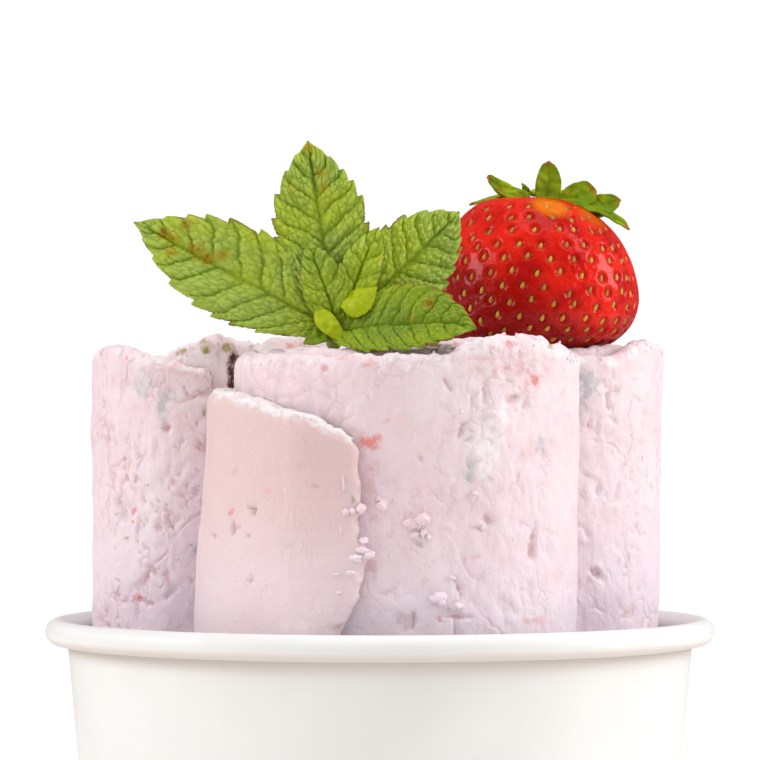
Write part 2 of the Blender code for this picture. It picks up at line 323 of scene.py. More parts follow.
SHEET = 3.0
SHEET_PITCH = 3.8
TORN_EDGE = 9
TORN_THICKNESS = 0.4
TIP_ROUND = 1.1
SETTLED = 1.2
FACE_LOW = 56
FACE_ROWS = 108
ROUND_ROWS = 11
BACK_ROWS = 14
HIDDEN_ROWS = (FLOOR_HEIGHT + 0.3, 30, 45, 52)
FINE_STEP, PLAIN_STEP, INNER_STEP = 0.38, 1.0, 1.5
# In degrees rolled: where the smooth flap gives way to the rough outside, and how far in the
# outer turn, the full relief and what shows from the front go.
FLAP_END = (66, 96)
OUTER_TURN, RELIEF_TURN, SHOWN_TURN = 400, 430, 460
DENT_DEPTH = 0.65
SMALL_CRUMB = 0.38
BERRY_WAIST = Vector((23.9, 8.5, 109.2))
BERRY_RADIUS = 15.45
BERRY_LOWER = 8.3
BERRY_BLUNTNESS = 2.8
BERRY_LEAN = 0.2
BERRY_BED = 0.35
STAINS = ("hollow_shade", "berry", "slate", "olive", "frost_and_highlight", "peach_and_shade", "crevice_shadow", "smooth")


def corners(piece, what="co"):
    """The places of a piece's vertices, or their normals, as rows of three."""
    values = np.empty(len(piece.data.vertices) * 3)
    piece.data.vertices.foreach_get(what, values)
    return values.reshape(-1, 3)


def paint(piece, stain, strengths):
    """A stain on a piece's vertices, for its finish to read."""
    layer = piece.data.attributes.new(stain, "FLOAT", "POINT")
    layer.data.foreach_set("value", strengths)


def eased(points, value):
    """Value of an outline of (place, value) points, eased from point to point."""
    places = np.array([p for p, _ in points], float)
    values = np.array([v for _, v in points], float)
    after = np.clip(np.searchsorted(places, value), 1, len(places) - 1)
    part = np.clip((value - places[after - 1]) / (places[after] - places[after - 1]), 0, 1)
    return values[after - 1] + (values[after] - values[after - 1]) * part**2 * (3 - 2 * part)


def unevenness(points, spacing, seed, octaves=3):
    """Fractal unevenness from about -1 to 1 at each point."""
    shift = Vector((seed, 2.3 * seed, 0.7 * seed))
    return np.array([noise.fractal(Vector(p) / spacing + shift, 1.0, 2.0, octaves) for p in points])


def flakes(points, size, seed):
    """Each point's own flake as a height from -1 to 1, and its distance to the next flake."""
    shift = Vector((seed, 0, 0))
    heights = np.empty(len(points))
    gaps = np.empty(len(points))
    for i, p in enumerate(points):
        far, centres = noise.voronoi(Vector(p) / size + shift)
        heights[i] = noise.noise(centres[0] * 3.7)
        gaps[i] = far[1] - far[0]
    return heights, gaps


def ramp(value, low, high):
    """0 below low and 1 above high, eased between them."""
    part = np.clip((value - low) / (high - low), 0, 1)
    return part * part * (3 - 2 * part)


def berry_underside(x, y):
    """Height of the strawberry's underside over each place, and far up beside it."""
    foot_x = BERRY_WAIST.x - BERRY_LEAN * BERRY_LOWER
    out = np.hypot(x - foot_x, y - BERRY_WAIST.y) / (BERRY_RADIUS + 0.6)
    curve = (1 - np.minimum(out, 0.98) ** BERRY_BLUNTNESS) ** (1 / BERRY_BLUNTNESS)
    return np.where(out < 0.98, BERRY_WAIST.z - BERRY_LOWER * curve, 1000)


def touched(x, z, touches, grain):
    """What hand and scraper left: relief in millimetres and the stains, at places on the front.

    The touches of each kind are (x, z, half width, half height, turn in degrees, strength). All
    but dents, lumps and crumbs are stains, and the shade lies on an inner turn. A dent also gets
    painted shade in its hollow and a lump a painted highlight, and the hollow and crevice touches
    are painted shade, as is the shade.
    """
    push = np.zeros(len(x))
    stains = {name: np.zeros(len(x)) for name in STAINS + ("shade",)}
    for kind, of_kind in touches.items():
        for at_x, at_z, wide, tall, turn, strength in of_kind:
            across = (x - at_x) * cos(radians(turn)) + (z - at_z) * sin(radians(turn))
            up = (z - at_z) * cos(radians(turn)) - (x - at_x) * sin(radians(turn))
            off = np.hypot(across / wide, up / tall) + 0.6 * grain
            mask = 1 - ramp(off, 0.6, 1.25)
            if kind == "dent":
                push -= DENT_DEPTH * strength * mask
                # A dent also gets painted shade in its hollow.
                stains["hollow_shade"] = np.maximum(stains["hollow_shade"], 0.75 * strength * mask)
            elif kind == "lump":
                push += strength * mask
                # A lump also gets a painted highlight.
                stains["frost_and_highlight"] = np.maximum(stains["frost_and_highlight"], 0.5 * mask)
            elif kind != "crumb":
                stains[kind] = np.maximum(stains[kind], strength * (1 - ramp(off, 0.2, 1.5)))
    return push, stains


def joined(name, pieces):
    """One object of several pieces."""
    bpy.ops.object.select_all(action="DESELECT")
    for piece in pieces:
        piece.select_set(True)
    bpy.context.view_layer.objects.active = pieces[0]
    bpy.ops.object.join()
    pieces[0].name = name
    bpy.ops.object.select_all(action="DESELECT")
    return pieces[0]


def crumbs(places):
    """Crumbs of ice cream, each uneven in its own way, at (x, y, z, half width, half height, turn)."""
    balls = []
    for fineness in (2, 4):
        bpy.ops.mesh.primitive_ico_sphere_add(subdivisions=fineness, radius=1)
        bpy.ops.object.shade_smooth()
        balls.append(bpy.context.object)
    small, large = balls
    bits = []
    for i, (x, y, z, wide, tall, turn) in enumerate(places):
        ball = large if wide > SMALL_CRUMB else small
        bit = ball.copy()
        bit.data = ball.data.copy()
        bpy.context.collection.objects.link(bit)
        shift = Vector((3.1 * i, i, 0))
        for corner in bit.data.vertices:
            swell = 1 + 0.4 * noise.noise(corner.co * 1.3 + shift)
            swell += 0.12 * noise.noise(corner.co * 3 + shift)
            size = Vector((wide, min(wide, tall), tall))
            corner.co = corner.co * size * swell
        turned = Matrix.Rotation(radians(-turn), 4, "Y") @ Matrix.Scale(MM, 4)
        bit.data.transform(Matrix.Translation(Vector((x, y, z)) * MM) @ turned)
        paint(bit, "smooth", np.ones(len(bit.data.vertices)))
        bits.append(bit)
    for ball in balls:
        bpy.data.objects.remove(ball)
    return joined("loose_crumbs", bits)


def sheet_rows(rounding):
    """The sheet's section as rows: (fixed height, share of the way up, drop below edge, inward)."""
    rows = [(height, 0, 0, 0) for height in HIDDEN_ROWS]
    rows += [(FACE_LOW, k / FACE_ROWS, rounding * k / FACE_ROWS, 0) for k in range(FACE_ROWS + 1)]
    for k in range(1, ROUND_ROWS):
        turn = pi * k / ROUND_ROWS
        rows.append((FACE_LOW, 1, rounding * (1 - sin(turn)), 0.5 - 0.5 * cos(turn)))
    for k in range(BACK_ROWS + 1):
        up = 1 - (k / BACK_ROWS) ** 2
        rows.append((FACE_LOW, up, rounding * up, 1))
    rows += [(HIDDEN_ROWS[1], 0, 0, 1), (HIDDEN_ROWS[0], 0, 0, 1), rows[0]]
    return np.array(rows, float)


loose_crumbs = []


def rolled_sheet(name, centre, half_size, free_end, turns, top, lean, fine, torn, flare, plated,
                 rounding, touches, strewn, seed):
    """One roll: a flat grid rolled up clockwise from its free end and standing in the cup.

    top is the upper edge's height over the angle rolled, lean how far that edge leans to the right
    and back, fine the angles that face the camera, torn how far the free end stands out to the
    right over the height, flare how far the outer turn spreads to the left at the rim, plated how
    strongly its flakes part, and rounding how far the upper edge is worn down. strewn says between
    which angles of that edge crumbs lie, how many and how large. All its crumbs are noted in
    loose_crumbs and made at the end.
    """
    mean_radius = sum(half_size) / 2
    swept = [0.0]
    while swept[-1] < turns * 360:
        near = any(start <= swept[-1] < end for start, end in fine)
        step = FINE_STEP if near else PLAIN_STEP if swept[-1] < OUTER_TURN else INNER_STEP
        swept.append(swept[-1] + degrees(step / (mean_radius - SHEET_PITCH * swept[-1] / 360)))
    rows = sheet_rows(rounding)
    bpy.ops.mesh.primitive_grid_add(x_subdivisions=len(swept) - 1, y_subdivisions=len(rows) - 1, size=1)
    sheet = bpy.context.object
    sheet.name = name
    flat = corners(sheet)
    column = np.rint((flat[:, 0] + 0.5) * (len(swept) - 1)).astype(int)
    row = np.rint((flat[:, 1] + 0.5) * (len(rows) - 1)).astype(int)
    rolled = np.array(swept)[column]
    fixed, share, drop, inside = rows[row].T

    def place(rolled, inside, height, edge):
        """Where a place of the sheet stands, and which way is out."""
        run = np.radians(rolled) * mean_radius
        reach = np.clip(run / TORN_EDGE, 0, 1)
        thick = SHEET * (TORN_THICKNESS + (1 - TORN_THICKNESS) * reach)
        tip = np.clip(run / TIP_ROUND, 0, 1)
        thick = thick * np.sqrt(1 - (1 - tip) ** 2 * 0.98)
        inward = SHEET / 2 + SHEET_PITCH * rolled / 360 - thick * (0.5 - inside)
        inward += SETTLED * (1 - reach) ** 1.5
        angle = radians(free_end) - np.radians(rolled)
        across = half_size[0] - inward
        along = half_size[1] - inward
        out = np.stack([np.cos(angle) / across, np.sin(angle) / along])
        out /= np.hypot(*out)
        x = centre[0] + across * np.cos(angle)
        y = centre[1] + along * np.sin(angle)
        wall = np.array([wall_radius(h) - PAPER / 2 for h in (0, WALL_TOP)])
        shrink = np.minimum(1, (wall[0] + WALL_SLOPE * height) / wall[1])
        shift = np.clip((height - WALL_TOP) / (edge - WALL_TOP), 0, None)
        return shrink * x + lean[0] * shift, shrink * y + lean[1] * shift, out

    edge = eased(top, rolled)
    if torn:
        drop = drop * (0.2 + 0.8 * ramp(rolled, *FLAP_END))
    x, y, out = place(rolled, 0.5, np.full(len(rolled), 100.0), edge)
    spots = np.stack([x, y, np.zeros(len(x))], 1)[np.unique(column, return_index=True)[1]]
    ragged = 0.45 * unevenness(spots, 5, seed) + 0.4 * unevenness(spots, 1.3, seed + 5)
    edge += ragged[column] * (0.45 + 0.55 * ramp(rolled, 60, 110))
    edge = np.minimum(edge, berry_underside(x, y) - BERRY_BED)
    height = fixed + share * (edge - FACE_LOW) - drop
    x, y, out = place(rolled, inside, height, edge)

    detailed = (share > 0) & ((inside < 0.9) | (share > 0.85))
    spots = np.stack([x, y, height], 1)[detailed]
    angle = rolled[detailed]
    back = inside[detailed] > 0.9
    warp = np.stack([unevenness(spots, 4.5, seed + k, 3) for k in (31, 37, 41)], 1)
    grain = unevenness(spots, 1.1, seed + 3, 2)
    broad = unevenness(spots, 13, seed + 2, 2)
    soft = unevenness(spots * (1, 1, 0.55), 3.0, seed + 6, 2)
    scrapes = unevenness((spots + 0.5 * warp) * (1, 1, 0.22), 0.9, seed + 8, 2)
    mottle = unevenness(spots * (1, 1, 0.8), 1.7, seed + 5, 3)
    flake_height, gap = flakes((spots + 2.4 * warp) * (1, 1, 0.8), 4.4, seed)
    parted = ramp(unevenness(spots, 5, seed + 17, 2), -0.05, 0.3)
    fold_line = unevenness(spots * (1, 1, 0.5), 4.2, seed + 23, 2)
    folded = ramp(unevenness(spots, 5, seed + 29, 2), 0.0, 0.3)
    pit_height, pit_gap = flakes((spots + 0.8 * warp) * (1, 1, 0.7), 1.5, seed + 43)
    pitted = ramp(unevenness(spots, 7, seed + 47, 2), 0.25, 0.55) * ramp(pit_height, 0.12, 0.3)
    past_flap = ramp(angle, *FLAP_END) if torn else np.ones(len(angle))
    rough = 0.22 + 0.78 * past_flap
    crease = plated * rough * parted * (1 - ramp(gap, 0.0, 0.1))
    fold = plated * rough * folded * (1 - ramp(np.abs(fold_line), 0.0, 0.055))
    chips = plated * rough * pitted * ramp(pit_gap, 0.1, 0.5)
    relief = 0.3 * broad + rough * (0.14 * soft + 0.06 * mottle + 0.03 * grain + 0.05 * scrapes)
    relief += plated * rough * 0.32 * flake_height * ramp(gap, 0, 0.35)
    relief -= 0.32 * crease + 0.22 * fold + 0.14 * chips
    below = edge[detailed] - spots[:, 2] + 0.4 * grain
    lip = (1 - ramp(below, 0.7 * rounding, 1.2 * rounding)) * past_flap
    relief += lip * 0.32 * unevenness(spots, 1.5, seed + 51, 3)
    bevel = (1 - ramp(below, 0.3, 1.7)) * (1 - past_flap)
    relief += bevel * (0.3 * unevenness(spots, 0.8, seed + 53, 3) - 0.55)
    if torn:
        relief += 0.1 * ramp(spots[:, 2], 86, 93) * ramp(angle, 320, 350) * scrapes
    push, stains = touched(spots[:, 0], spots[:, 2], touches, grain)
    facing = np.where(back, -1, 1) * out[1][detailed] < 0.35
    shown = facing & (angle < SHOWN_TURN)
    relief += np.where(shown, push, 0)
    relief *= 0.25 + 0.75 * ramp(angle, 0, 6)
    relief *= np.where(back, -0.3, np.where(angle < RELIEF_TURN, 1, 0.45))
    x[detailed] += relief * out[0][detailed]
    y[detailed] += relief * out[1][detailed]
    if torn:
        levels = np.linspace(FACE_LOW, height.max(), 240)
        tears = unevenness(np.stack([0 * levels, 0 * levels, levels], 1), 1.5, seed + 61, 3)
        slide = eased(torn, height) + 0.5 * np.interp(height, levels, tears)
        x += slide * (1 - ramp(rolled, 0, 26)) * (share > 0)
    at_rim = ramp(height, 30, 60) * (1 - ramp(height, 60, 97))
    x -= flare * at_rim * ramp(rolled, 25, 80) * (1 - ramp(rolled, 110, 190))

    blot = unevenness(spots, 2.4, seed + 71, 2)
    # Painted shade on the sunken spots of the mottle, painted highlight on the raised ones.
    sunk = rough * ramp(-mottle - 0.5 * grain, 0.15, 0.8)
    raised_highlight = rough * ramp(mottle + 0.4 * scrapes, 0.15, 0.8)
    extra = {
        # Painted shade in the creases, folds and chips.
        "hollow_shade": 0.6 * crease + 0.5 * fold + 0.3 * chips + 0.2 * sunk,
        # Painted highlight on the raised mottle and on the top edges and flap bevel that face up to the
        # light.
        "frost_and_highlight": np.maximum(0.95 * bevel, 0.3 * raised_highlight + 0.5 * lip * ramp(blot, -0.4, 0.3)),
        # The smooth flap is painted a darker peach: partly its own tone, partly painted shade that
        # darkens it where it faces the lights.
        "peach_and_shade": (0.4 + 0.45 * ramp(spots[:, 2], 66, 86)) * (1 - past_flap),
        "smooth": np.maximum(1 - past_flap, 1 - plated),
        "berry": 0.4 * lip * ramp(blot, 0.3, 0.6),
        # The shade touches paint dark shade on the inner turns seen behind the lip.
        "crevice_shadow": np.where(facing & (angle > SHOWN_TURN), stains["shade"], 0),
    }
    sheet.data.vertices.foreach_set("co", (np.stack([x, y, height], 1) * MM).ravel())
    for stain in STAINS:
        painted = np.zeros(len(x))
        painted[detailed] = np.maximum(np.where(shown, stains[stain], 0), extra.get(stain, 0))
        paint(sheet, stain, painted)
    sheet.data.update()
    for end, at in (("free_end", 0), ("inner_end", len(swept) - 1)):
        sheet.vertex_groups.new(name=end).add(np.where(column == at)[0].tolist(), 1, "REPLACE")
    bpy.ops.object.mode_set(mode="EDIT")
    bpy.ops.mesh.select_all(action="SELECT")
    bpy.ops.mesh.remove_doubles(threshold=0.01 * MM)
    for end in ("free_end", "inner_end"):
        bpy.ops.mesh.select_all(action="DESELECT")
        sheet.vertex_groups.active = sheet.vertex_groups[end]
        bpy.ops.object.vertex_group_select()
        bpy.ops.mesh.fill()
    bpy.ops.mesh.select_all(action="SELECT")
    bpy.ops.mesh.normals_make_consistent(inside=False)
    bpy.ops.object.mode_set(mode="OBJECT")
    bpy.ops.object.shade_smooth()
    sheet.vertex_groups.clear()

    for at_x, at_z, wide, tall, turn, strength in touches.get("crumb", ()):
        near = np.where(shown & (np.hypot(x[detailed] - at_x, height[detailed] - at_z) < 0.7))[0]
        depth = y[detailed][near].min() - strength * min(wide, tall)
        loose_crumbs.append((at_x, depth, at_z, wide, tall, turn))
    draw = np.random.default_rng(seed)
    for start, end, count, largest in strewn:
        on_edge = np.where((rolled >= start) & (rolled <= end) & (share == 1) & (inside < 0.6))[0]
        for i in draw.choice(on_edge, count, replace=False):
            half = largest * (0.3 + 0.7 * draw.random() ** 2)
            wide = half * (0.8 + 0.6 * draw.random())
            loose_crumbs.append((x[i], y[i], height[i], wide, 0.75 * half, draw.uniform(-60, 60)))
    return sheet


def ice_cream_finish():
    """Pale pink, clouded and brushed, with the painted stains, fine cracks and flecks of fruit."""
    cream = Finish("strawberry_ice_cream", 0.5, 0.35)
    strewn_about = cream.wander(650, 0.0015)
    rough = cream.spread(cream.painted("smooth"), 0, 1, 1, 0)
    brush = cream.node("ShaderNodeMapping", Vector=cream.wander(130, 0.005), Scale=(1, 1, 0.3))
    upright = brush.outputs["Vector"]
    cloud = cream.noise(65, 3)
    mottle = cream.noise(330, 4, 0.6)
    streak = cream.noise(1000, 3, 0.6, upright)
    colour = cream.blend(cream.spread(cloud, 0.32, 0.68), (0.85, 0.675, 0.725), (0.885, 0.755, 0.79))
    colour = cream.blend(cream.spread(streak, 0.5, 0.78, 0, 0.3), colour, (0.81, 0.62, 0.645))
    colour = cream.blend(cream.spread(mottle, 0.5, 0.75, 0, 0.3), colour, (0.82, 0.63, 0.655))
    height = cream.node("ShaderNodeSeparateXYZ", Vector=cream.place).outputs["Z"]
    # Paler lilac low on the rolls: partly the cream's own tone, partly painted light that lifts the
    # shade low in the cup.
    colour = cream.blend(cream.spread(height, 0.062, 0.09, 0.6, 0), colour, (0.86, 0.75, 0.83))
    blush = cream.spread(cream.noise(120, 2), 0.55, 0.72, 0, 0.35)
    colour = cream.blend(blush, colour, (0.83, 0.60, 0.62))
    ragged = cream.spread(cream.noise(750, 3, 0.7), 0.35, 0.62, 0.45, 1.3)
    paints = (
        # The cream's own peach tone, deepened on the flap as painted shade.
        ("peach_and_shade", (0.765, 0.565, 0.565), 1.0),
        # Partly white frost and chalk, partly painted highlight on raised spots and lit top edges.
        ("frost_and_highlight", (0.93, 0.875, 0.885), 0.9),
        ("slate", (0.57, 0.555, 0.585), 1.0),
        ("olive", (0.36, 0.31, 0.09), 1.0),
        ("berry", (0.82, 0.30, 0.28), 1.0),
        # Painted shade in the dents, creases and hollows.
        ("hollow_shade", (0.66, 0.36, 0.36), 0.8),
        # Painted shadow: dark brown where the gaps between the rolls lie in deep shade.
        ("crevice_shadow", (0.11, 0.05, 0.035), 1.0),
    )
    for stain, tint, most in paints:
        amount = cream.painted(stain)
        if stain != "peach_and_shade":
            amount = cream.times(amount, ragged)
        colour = cream.blend(cream.spread(amount, 0.04, 1.0, 0, most), colour, tint)
    drawn_out = cream.node("ShaderNodeMapping", Vector=cream.wander(230, 0.006), Scale=(1, 1, 0.7))
    plates = cream.cells(190, drawn_out.outputs["Vector"], "DISTANCE_TO_EDGE").outputs["Distance"]
    cracked = cream.times(cream.spread(cream.noise(140, 3), 0.44, 0.62), rough)
    crack_shade = cream.times(cream.spread(plates, 0.002, 0.03, 1, 0), cracked)
    marks = cream.times(cream.spread(plates, 0, 0.1, -0.5, 0), cracked)
    # Painted shade: the fine cracks are tinted a darker pink, as if shaded.
    colour = cream.blend(cream.times(crack_shade, 0.6), colour, (0.70, 0.40, 0.41))
    # (scale, size in a cell, share of cells left empty, colour, strength, rise)
    flecks = (
        (160, 0.09, 0.86, (0.82, 0.27, 0.25), 0.8, 0),
        (300, 0.14, 0.91, (0.64, 0.40, 0.39), 0.6, -1),
        (420, 0.18, 0.82, (0.93, 0.87, 0.87), 0.6, 1),
    )
    for scale, size, empty, tint, most, rise in flecks:
        fleck = cream.cells(scale, strewn_about)
        lot = cream.node("ShaderNodeSeparateColor", Color=fleck.outputs["Color"]).outputs[0]
        inside = cream.spread(fleck.outputs["Distance"], 0.6 * size, size, 1, 0)
        amount = cream.times(inside, cream.maths("GREATER_THAN", lot, empty))
        amount = cream.times(amount, cream.spread(rough, 0, 1, 0.35, 1))
        colour = cream.blend(cream.times(amount, most), colour, tint)
        marks = cream.maths("ADD", marks, cream.times(amount, 0.5 * rise))
    fine = cream.relief(cream.noise(1500, 5, 0.65), 0.00012, 0.4)
    brushed = cream.relief(streak, 0.0004, 0.4, fine)
    soft = cream.relief(mottle, 0.0005, 0.35, brushed)
    pitted = cream.relief(marks, 0.0005, 0.7, soft)
    cream.shader.inputs["Subsurface Weight"].default_value = 0.2
    cream.shader.inputs["Subsurface Radius"].default_value = (1.0, 0.55, 0.5)
    cream.shader.inputs["Subsurface Scale"].default_value = 0.001
    return cream.done(colour, pitted, cream.spread(mottle, 0.3, 0.7, 0.42, 0.6))


ice_cream = ice_cream_finish()


def served(roll, node):
    """A finished roll takes the place of its plain solid."""
    roll.data.materials.append(ice_cream)
    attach(roll, "root")
    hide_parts(node)


front_top = [
    (0, 88.4), (4, 89.9), (9, 90.6), (15, 91.9), (26, 92.7), (33, 93.5), (40, 94.2), (50, 95.1),
    (66, 95.6), (78, 95.4), (108, 96), (118, 103), (135, 103.9), (165, 103.6), (200, 103.4),
    (240, 101.5), (258, 100.4), (268, 100.9), (280, 101.9), (288, 101.9), (294, 102.7), (311, 103.1),
    (319, 102.6), (326, 101.4), (331, 100.2), (366, 100.1), (390, 100.5), (415, 100.7), (438, 100.6),
    (470, 101.4), (530, 103), (640, 103), (700, 101),
]
front_torn = [
    (60, -3.4), (62, -3.2), (63.7, -1.8), (65.2, -0.9), (66.4, -0.4), (69.3, 0.2), (71.2, 0),
    (72.5, 1.5), (73.8, 0.6), (74.8, -0.4), (80.3, -0.3), (82.2, -0.5), (87, -0.8), (88.4, -1.3),
]
front_touches = {
    "dent": [
        (5.5, 74.1, 0.6, 0.45, 0, 0.7), (9.2, 96.2, 0.25, 1.6, 33, 0.6),
        (21.2, 74.0, 0.5, 2.4, -6, 0.8), (14.7, 77.4, 0.6, 1.0, 20, 0.7),
        (13.1, 76.3, 0.9, 0.3, 0, 0.5), (18.5, 94.0, 1.2, 0.7, 25, 0.8),
        (20.0, 93.2, 0.4, 1.0, -30, 0.5), (14.4, 94.4, 0.35, 1.5, 0, 0.5),
        (12.6, 94.6, 0.4, 1.0, 0, 0.35), (11.2, 89.8, 0.35, 1.2, -20, 0.6),
        (12.0, 88.4, 0.6, 0.3, 35, 0.6), (5.6, 85.8, 0.3, 0.6, 0, 0.5),
        (-17.5, 78.9, 0.6, 0.3, 0, 0.9), (-17.4, 78.4, 0.28, 0.4, 0, 0.95),
        (-20.2, 76.2, 0.22, 1.1, -8, 0.8), (-22.7, 74.9, 0.45, 0.28, 0, 0.8),
        (-18.1, 75.1, 0.28, 0.25, 0, 0.8), (-19.5, 76.3, 0.2, 0.5, -40, 0.5),
        (-17.7, 69.0, 0.18, 0.6, -25, 0.8), (-20.0, 84.0, 0.15, 0.8, -30, 0.4),
        (-8.5, 82.0, 0.7, 0.2, 15, 0.5), (10.4, 65.9, 0.25, 0.3, 0, 0.8),
        (10.8, 68.1, 0.3, 1.5, 18, 0.8), (3.4, 63.4, 1.5, 1.3, 0, 0.5),
        (4.6, 63.2, 0.2, 1.6, 0, 0.7), (10.4, 64.2, 2.6, 0.25, -6, 0.7),
        (10.2, 63.0, 0.3, 1.2, 0, 0.5), (1.2, 67.6, 1.6, 0.2, 30, 0.5),
    ],
    "lump": [(16.2, 91.2, 1.3, 1.4, 0, 0.3), (13.4, 90.3, 1.2, 1.3, 0, 0.3)],
    "crumb": [
        (4.3, 76.9, 1.15, 0.65, 8, 0.3), (5.8, 77.4, 1.2, 0.8, 18, 0.3),
        (5.2, 76.6, 0.5, 0.4, 0, 0.3), (4.7, 75.3, 0.6, 0.5, 0, 0.3),
        (5.9, 75.6, 0.5, 0.6, 0, 0.3), (6.6, 75.1, 0.4, 0.4, 0, 0.3),
        (0.3, 79.4, 0.8, 0.75, 30, 0.2), (-0.2, 80.2, 0.4, 0.35, 0, 0.3),
        (14.2, 76.3, 0.4, 0.3, 30, 0.3), (15.6, 92.0, 0.7, 0.5, 0, 0.6),
        (13.9, 85.7, 0.6, 0.4, 20, 0.6), (15.5, 83.2, 0.5, 0.35, -30, 0.6),
        (13.0, 81.0, 0.45, 0.35, 0, 0.6), (-5.0, 82.3, 0.13, 1.3, 6, 0.3),
        (-5.4, 76.0, 0.15, 0.6, 0, 0.3), (-4.7, 78.5, 0.5, 0.4, 0, 0.4),
        (-3.8, 78.6, 0.45, 0.4, 0, 0.4), (-2.6, 78.9, 0.55, 0.75, -30, 0.2),
        (-2.2, 74.6, 0.6, 0.45, 0, 0.2), (-2.4, 73.3, 1.0, 0.42, -5, 0.2),
        (-1.5, 72.6, 0.9, 0.5, 20, 0.1), (-3.3, 72.2, 0.9, 0.5, 0, 0.3),
        (-3.9, 70.2, 0.7, 0.35, 0, 0.5), (-5.9, 70.0, 0.5, 0.2, 0, 0.5),
        (-5.6, 67.5, 0.3, 0.3, 0, 0.5), (7.9, 66.6, 1.1, 0.9, 0, 0.5),
        (10.4, 65.5, 1.0, 0.6, 15, 0.4), (9.9, 69.5, 0.55, 0.28, -15, 0.4),
    ],
    "berry": [
        (-1.4, 88.1, 1.6, 1.4, 0, 0.75), (-1.5, 98.9, 1.0, 0.5, 30, 1.0),
        (-5.0, 99.6, 1.8, 0.5, 0, 0.45), (0.8, 90.9, 0.7, 0.35, 35, 0.7),
        (21.2, 96.7, 1.0, 0.9, 0, 1.0), (17.6, 98.2, 2.2, 0.3, -18, 0.6),
        (18.1, 101.6, 1.1, 0.6, -20, 0.8), (19.9, 98.8, 0.4, 1.0, 0, 0.7),
        (-15.6, 81.3, 1.0, 0.5, 0, 0.3), (-20.4, 78.4, 0.3, 0.7, -25, 0.8),
        (8.0, 64.0, 0.3, 0.6, 0, 0.9), (22.0, 63.4, 2.2, 1.0, 0, 0.35),
        (-13.0, 102.3, 1.2, 0.9, 0, 0.8), (-10.3, 101.8, 0.9, 0.7, 20, 0.5),
        (-16.6, 103.2, 0.7, 0.5, 0, 0.5),
    ],
    # Painted shade along the flap's torn edge and under the top lips.
    "hollow_shade": [
        (-1.3, 82.5, 1.2, 4.6, 0, 0.55), (-1.6, 70.0, 1.0, 3.2, -20, 0.5),
        (18.5, 98.5, 7.0, 3.0, 0, 0.5), (-13.0, 97.6, 7.0, 3.0, 0, 0.27),
        (-20.5, 102.6, 1.6, 1.0, 0, 1.0),
    ],
    "slate": [
        (12.3, 84.0, 1.2, 2.6, 0, 0.75), (6.5, 99.2, 4.0, 0.7, 0, 0.5),
        (14.2, 101.3, 2.6, 0.4, 0, 0.6), (22.5, 87.5, 0.9, 2.0, 0, 0.7),
        (-12.8, 73.7, 0.9, 0.6, 0, 0.6), (-3.5, 80.5, 0.4, 1.1, 10, 0.9),
    ],
    "olive": [(23.8, 101.4, 0.6, 0.4, 0, 0.9), (-3.4, 80.3, 0.3, 0.6, 10, 0.6)],
    # The cream's own peach tone on the flap and in a few patches.
    "peach_and_shade": [
        (20.5, 87.0, 1.2, 1.6, 0, 0.7), (-15.5, 91.6, 8.0, 1.7, -14, 0.7),
        (-7.5, 86.5, 4.8, 5.2, -20, 0.95),
    ],
    # A chalky white patch of the cream's own, and a pale painted highlight on the top edge.
    "frost_and_highlight": [(14.5, 86.5, 2.6, 5.0, 0, 0.75), (-15.5, 101.6, 2.5, 0.7, 0, 0.8)],
    # Painted shade on the inner turn seen under the mint.
    "shade": [(6.5, 102.0, 6.5, 3.0, 0, 0.6)],
}
roll_front = rolled_sheet(
    "front_roll", (2.55, -23.7), (28.2, 21.4), -102, 4.1, front_top, (0.4, 0.2),
    [(0, 104), (256, 450)], front_torn, 1.6, 0.5, 2.2, front_touches,
    [(262, 335, 40, 0.4), (335, 450, 25, 0.3)], 3,
)
served(roll_front, "roll_front")

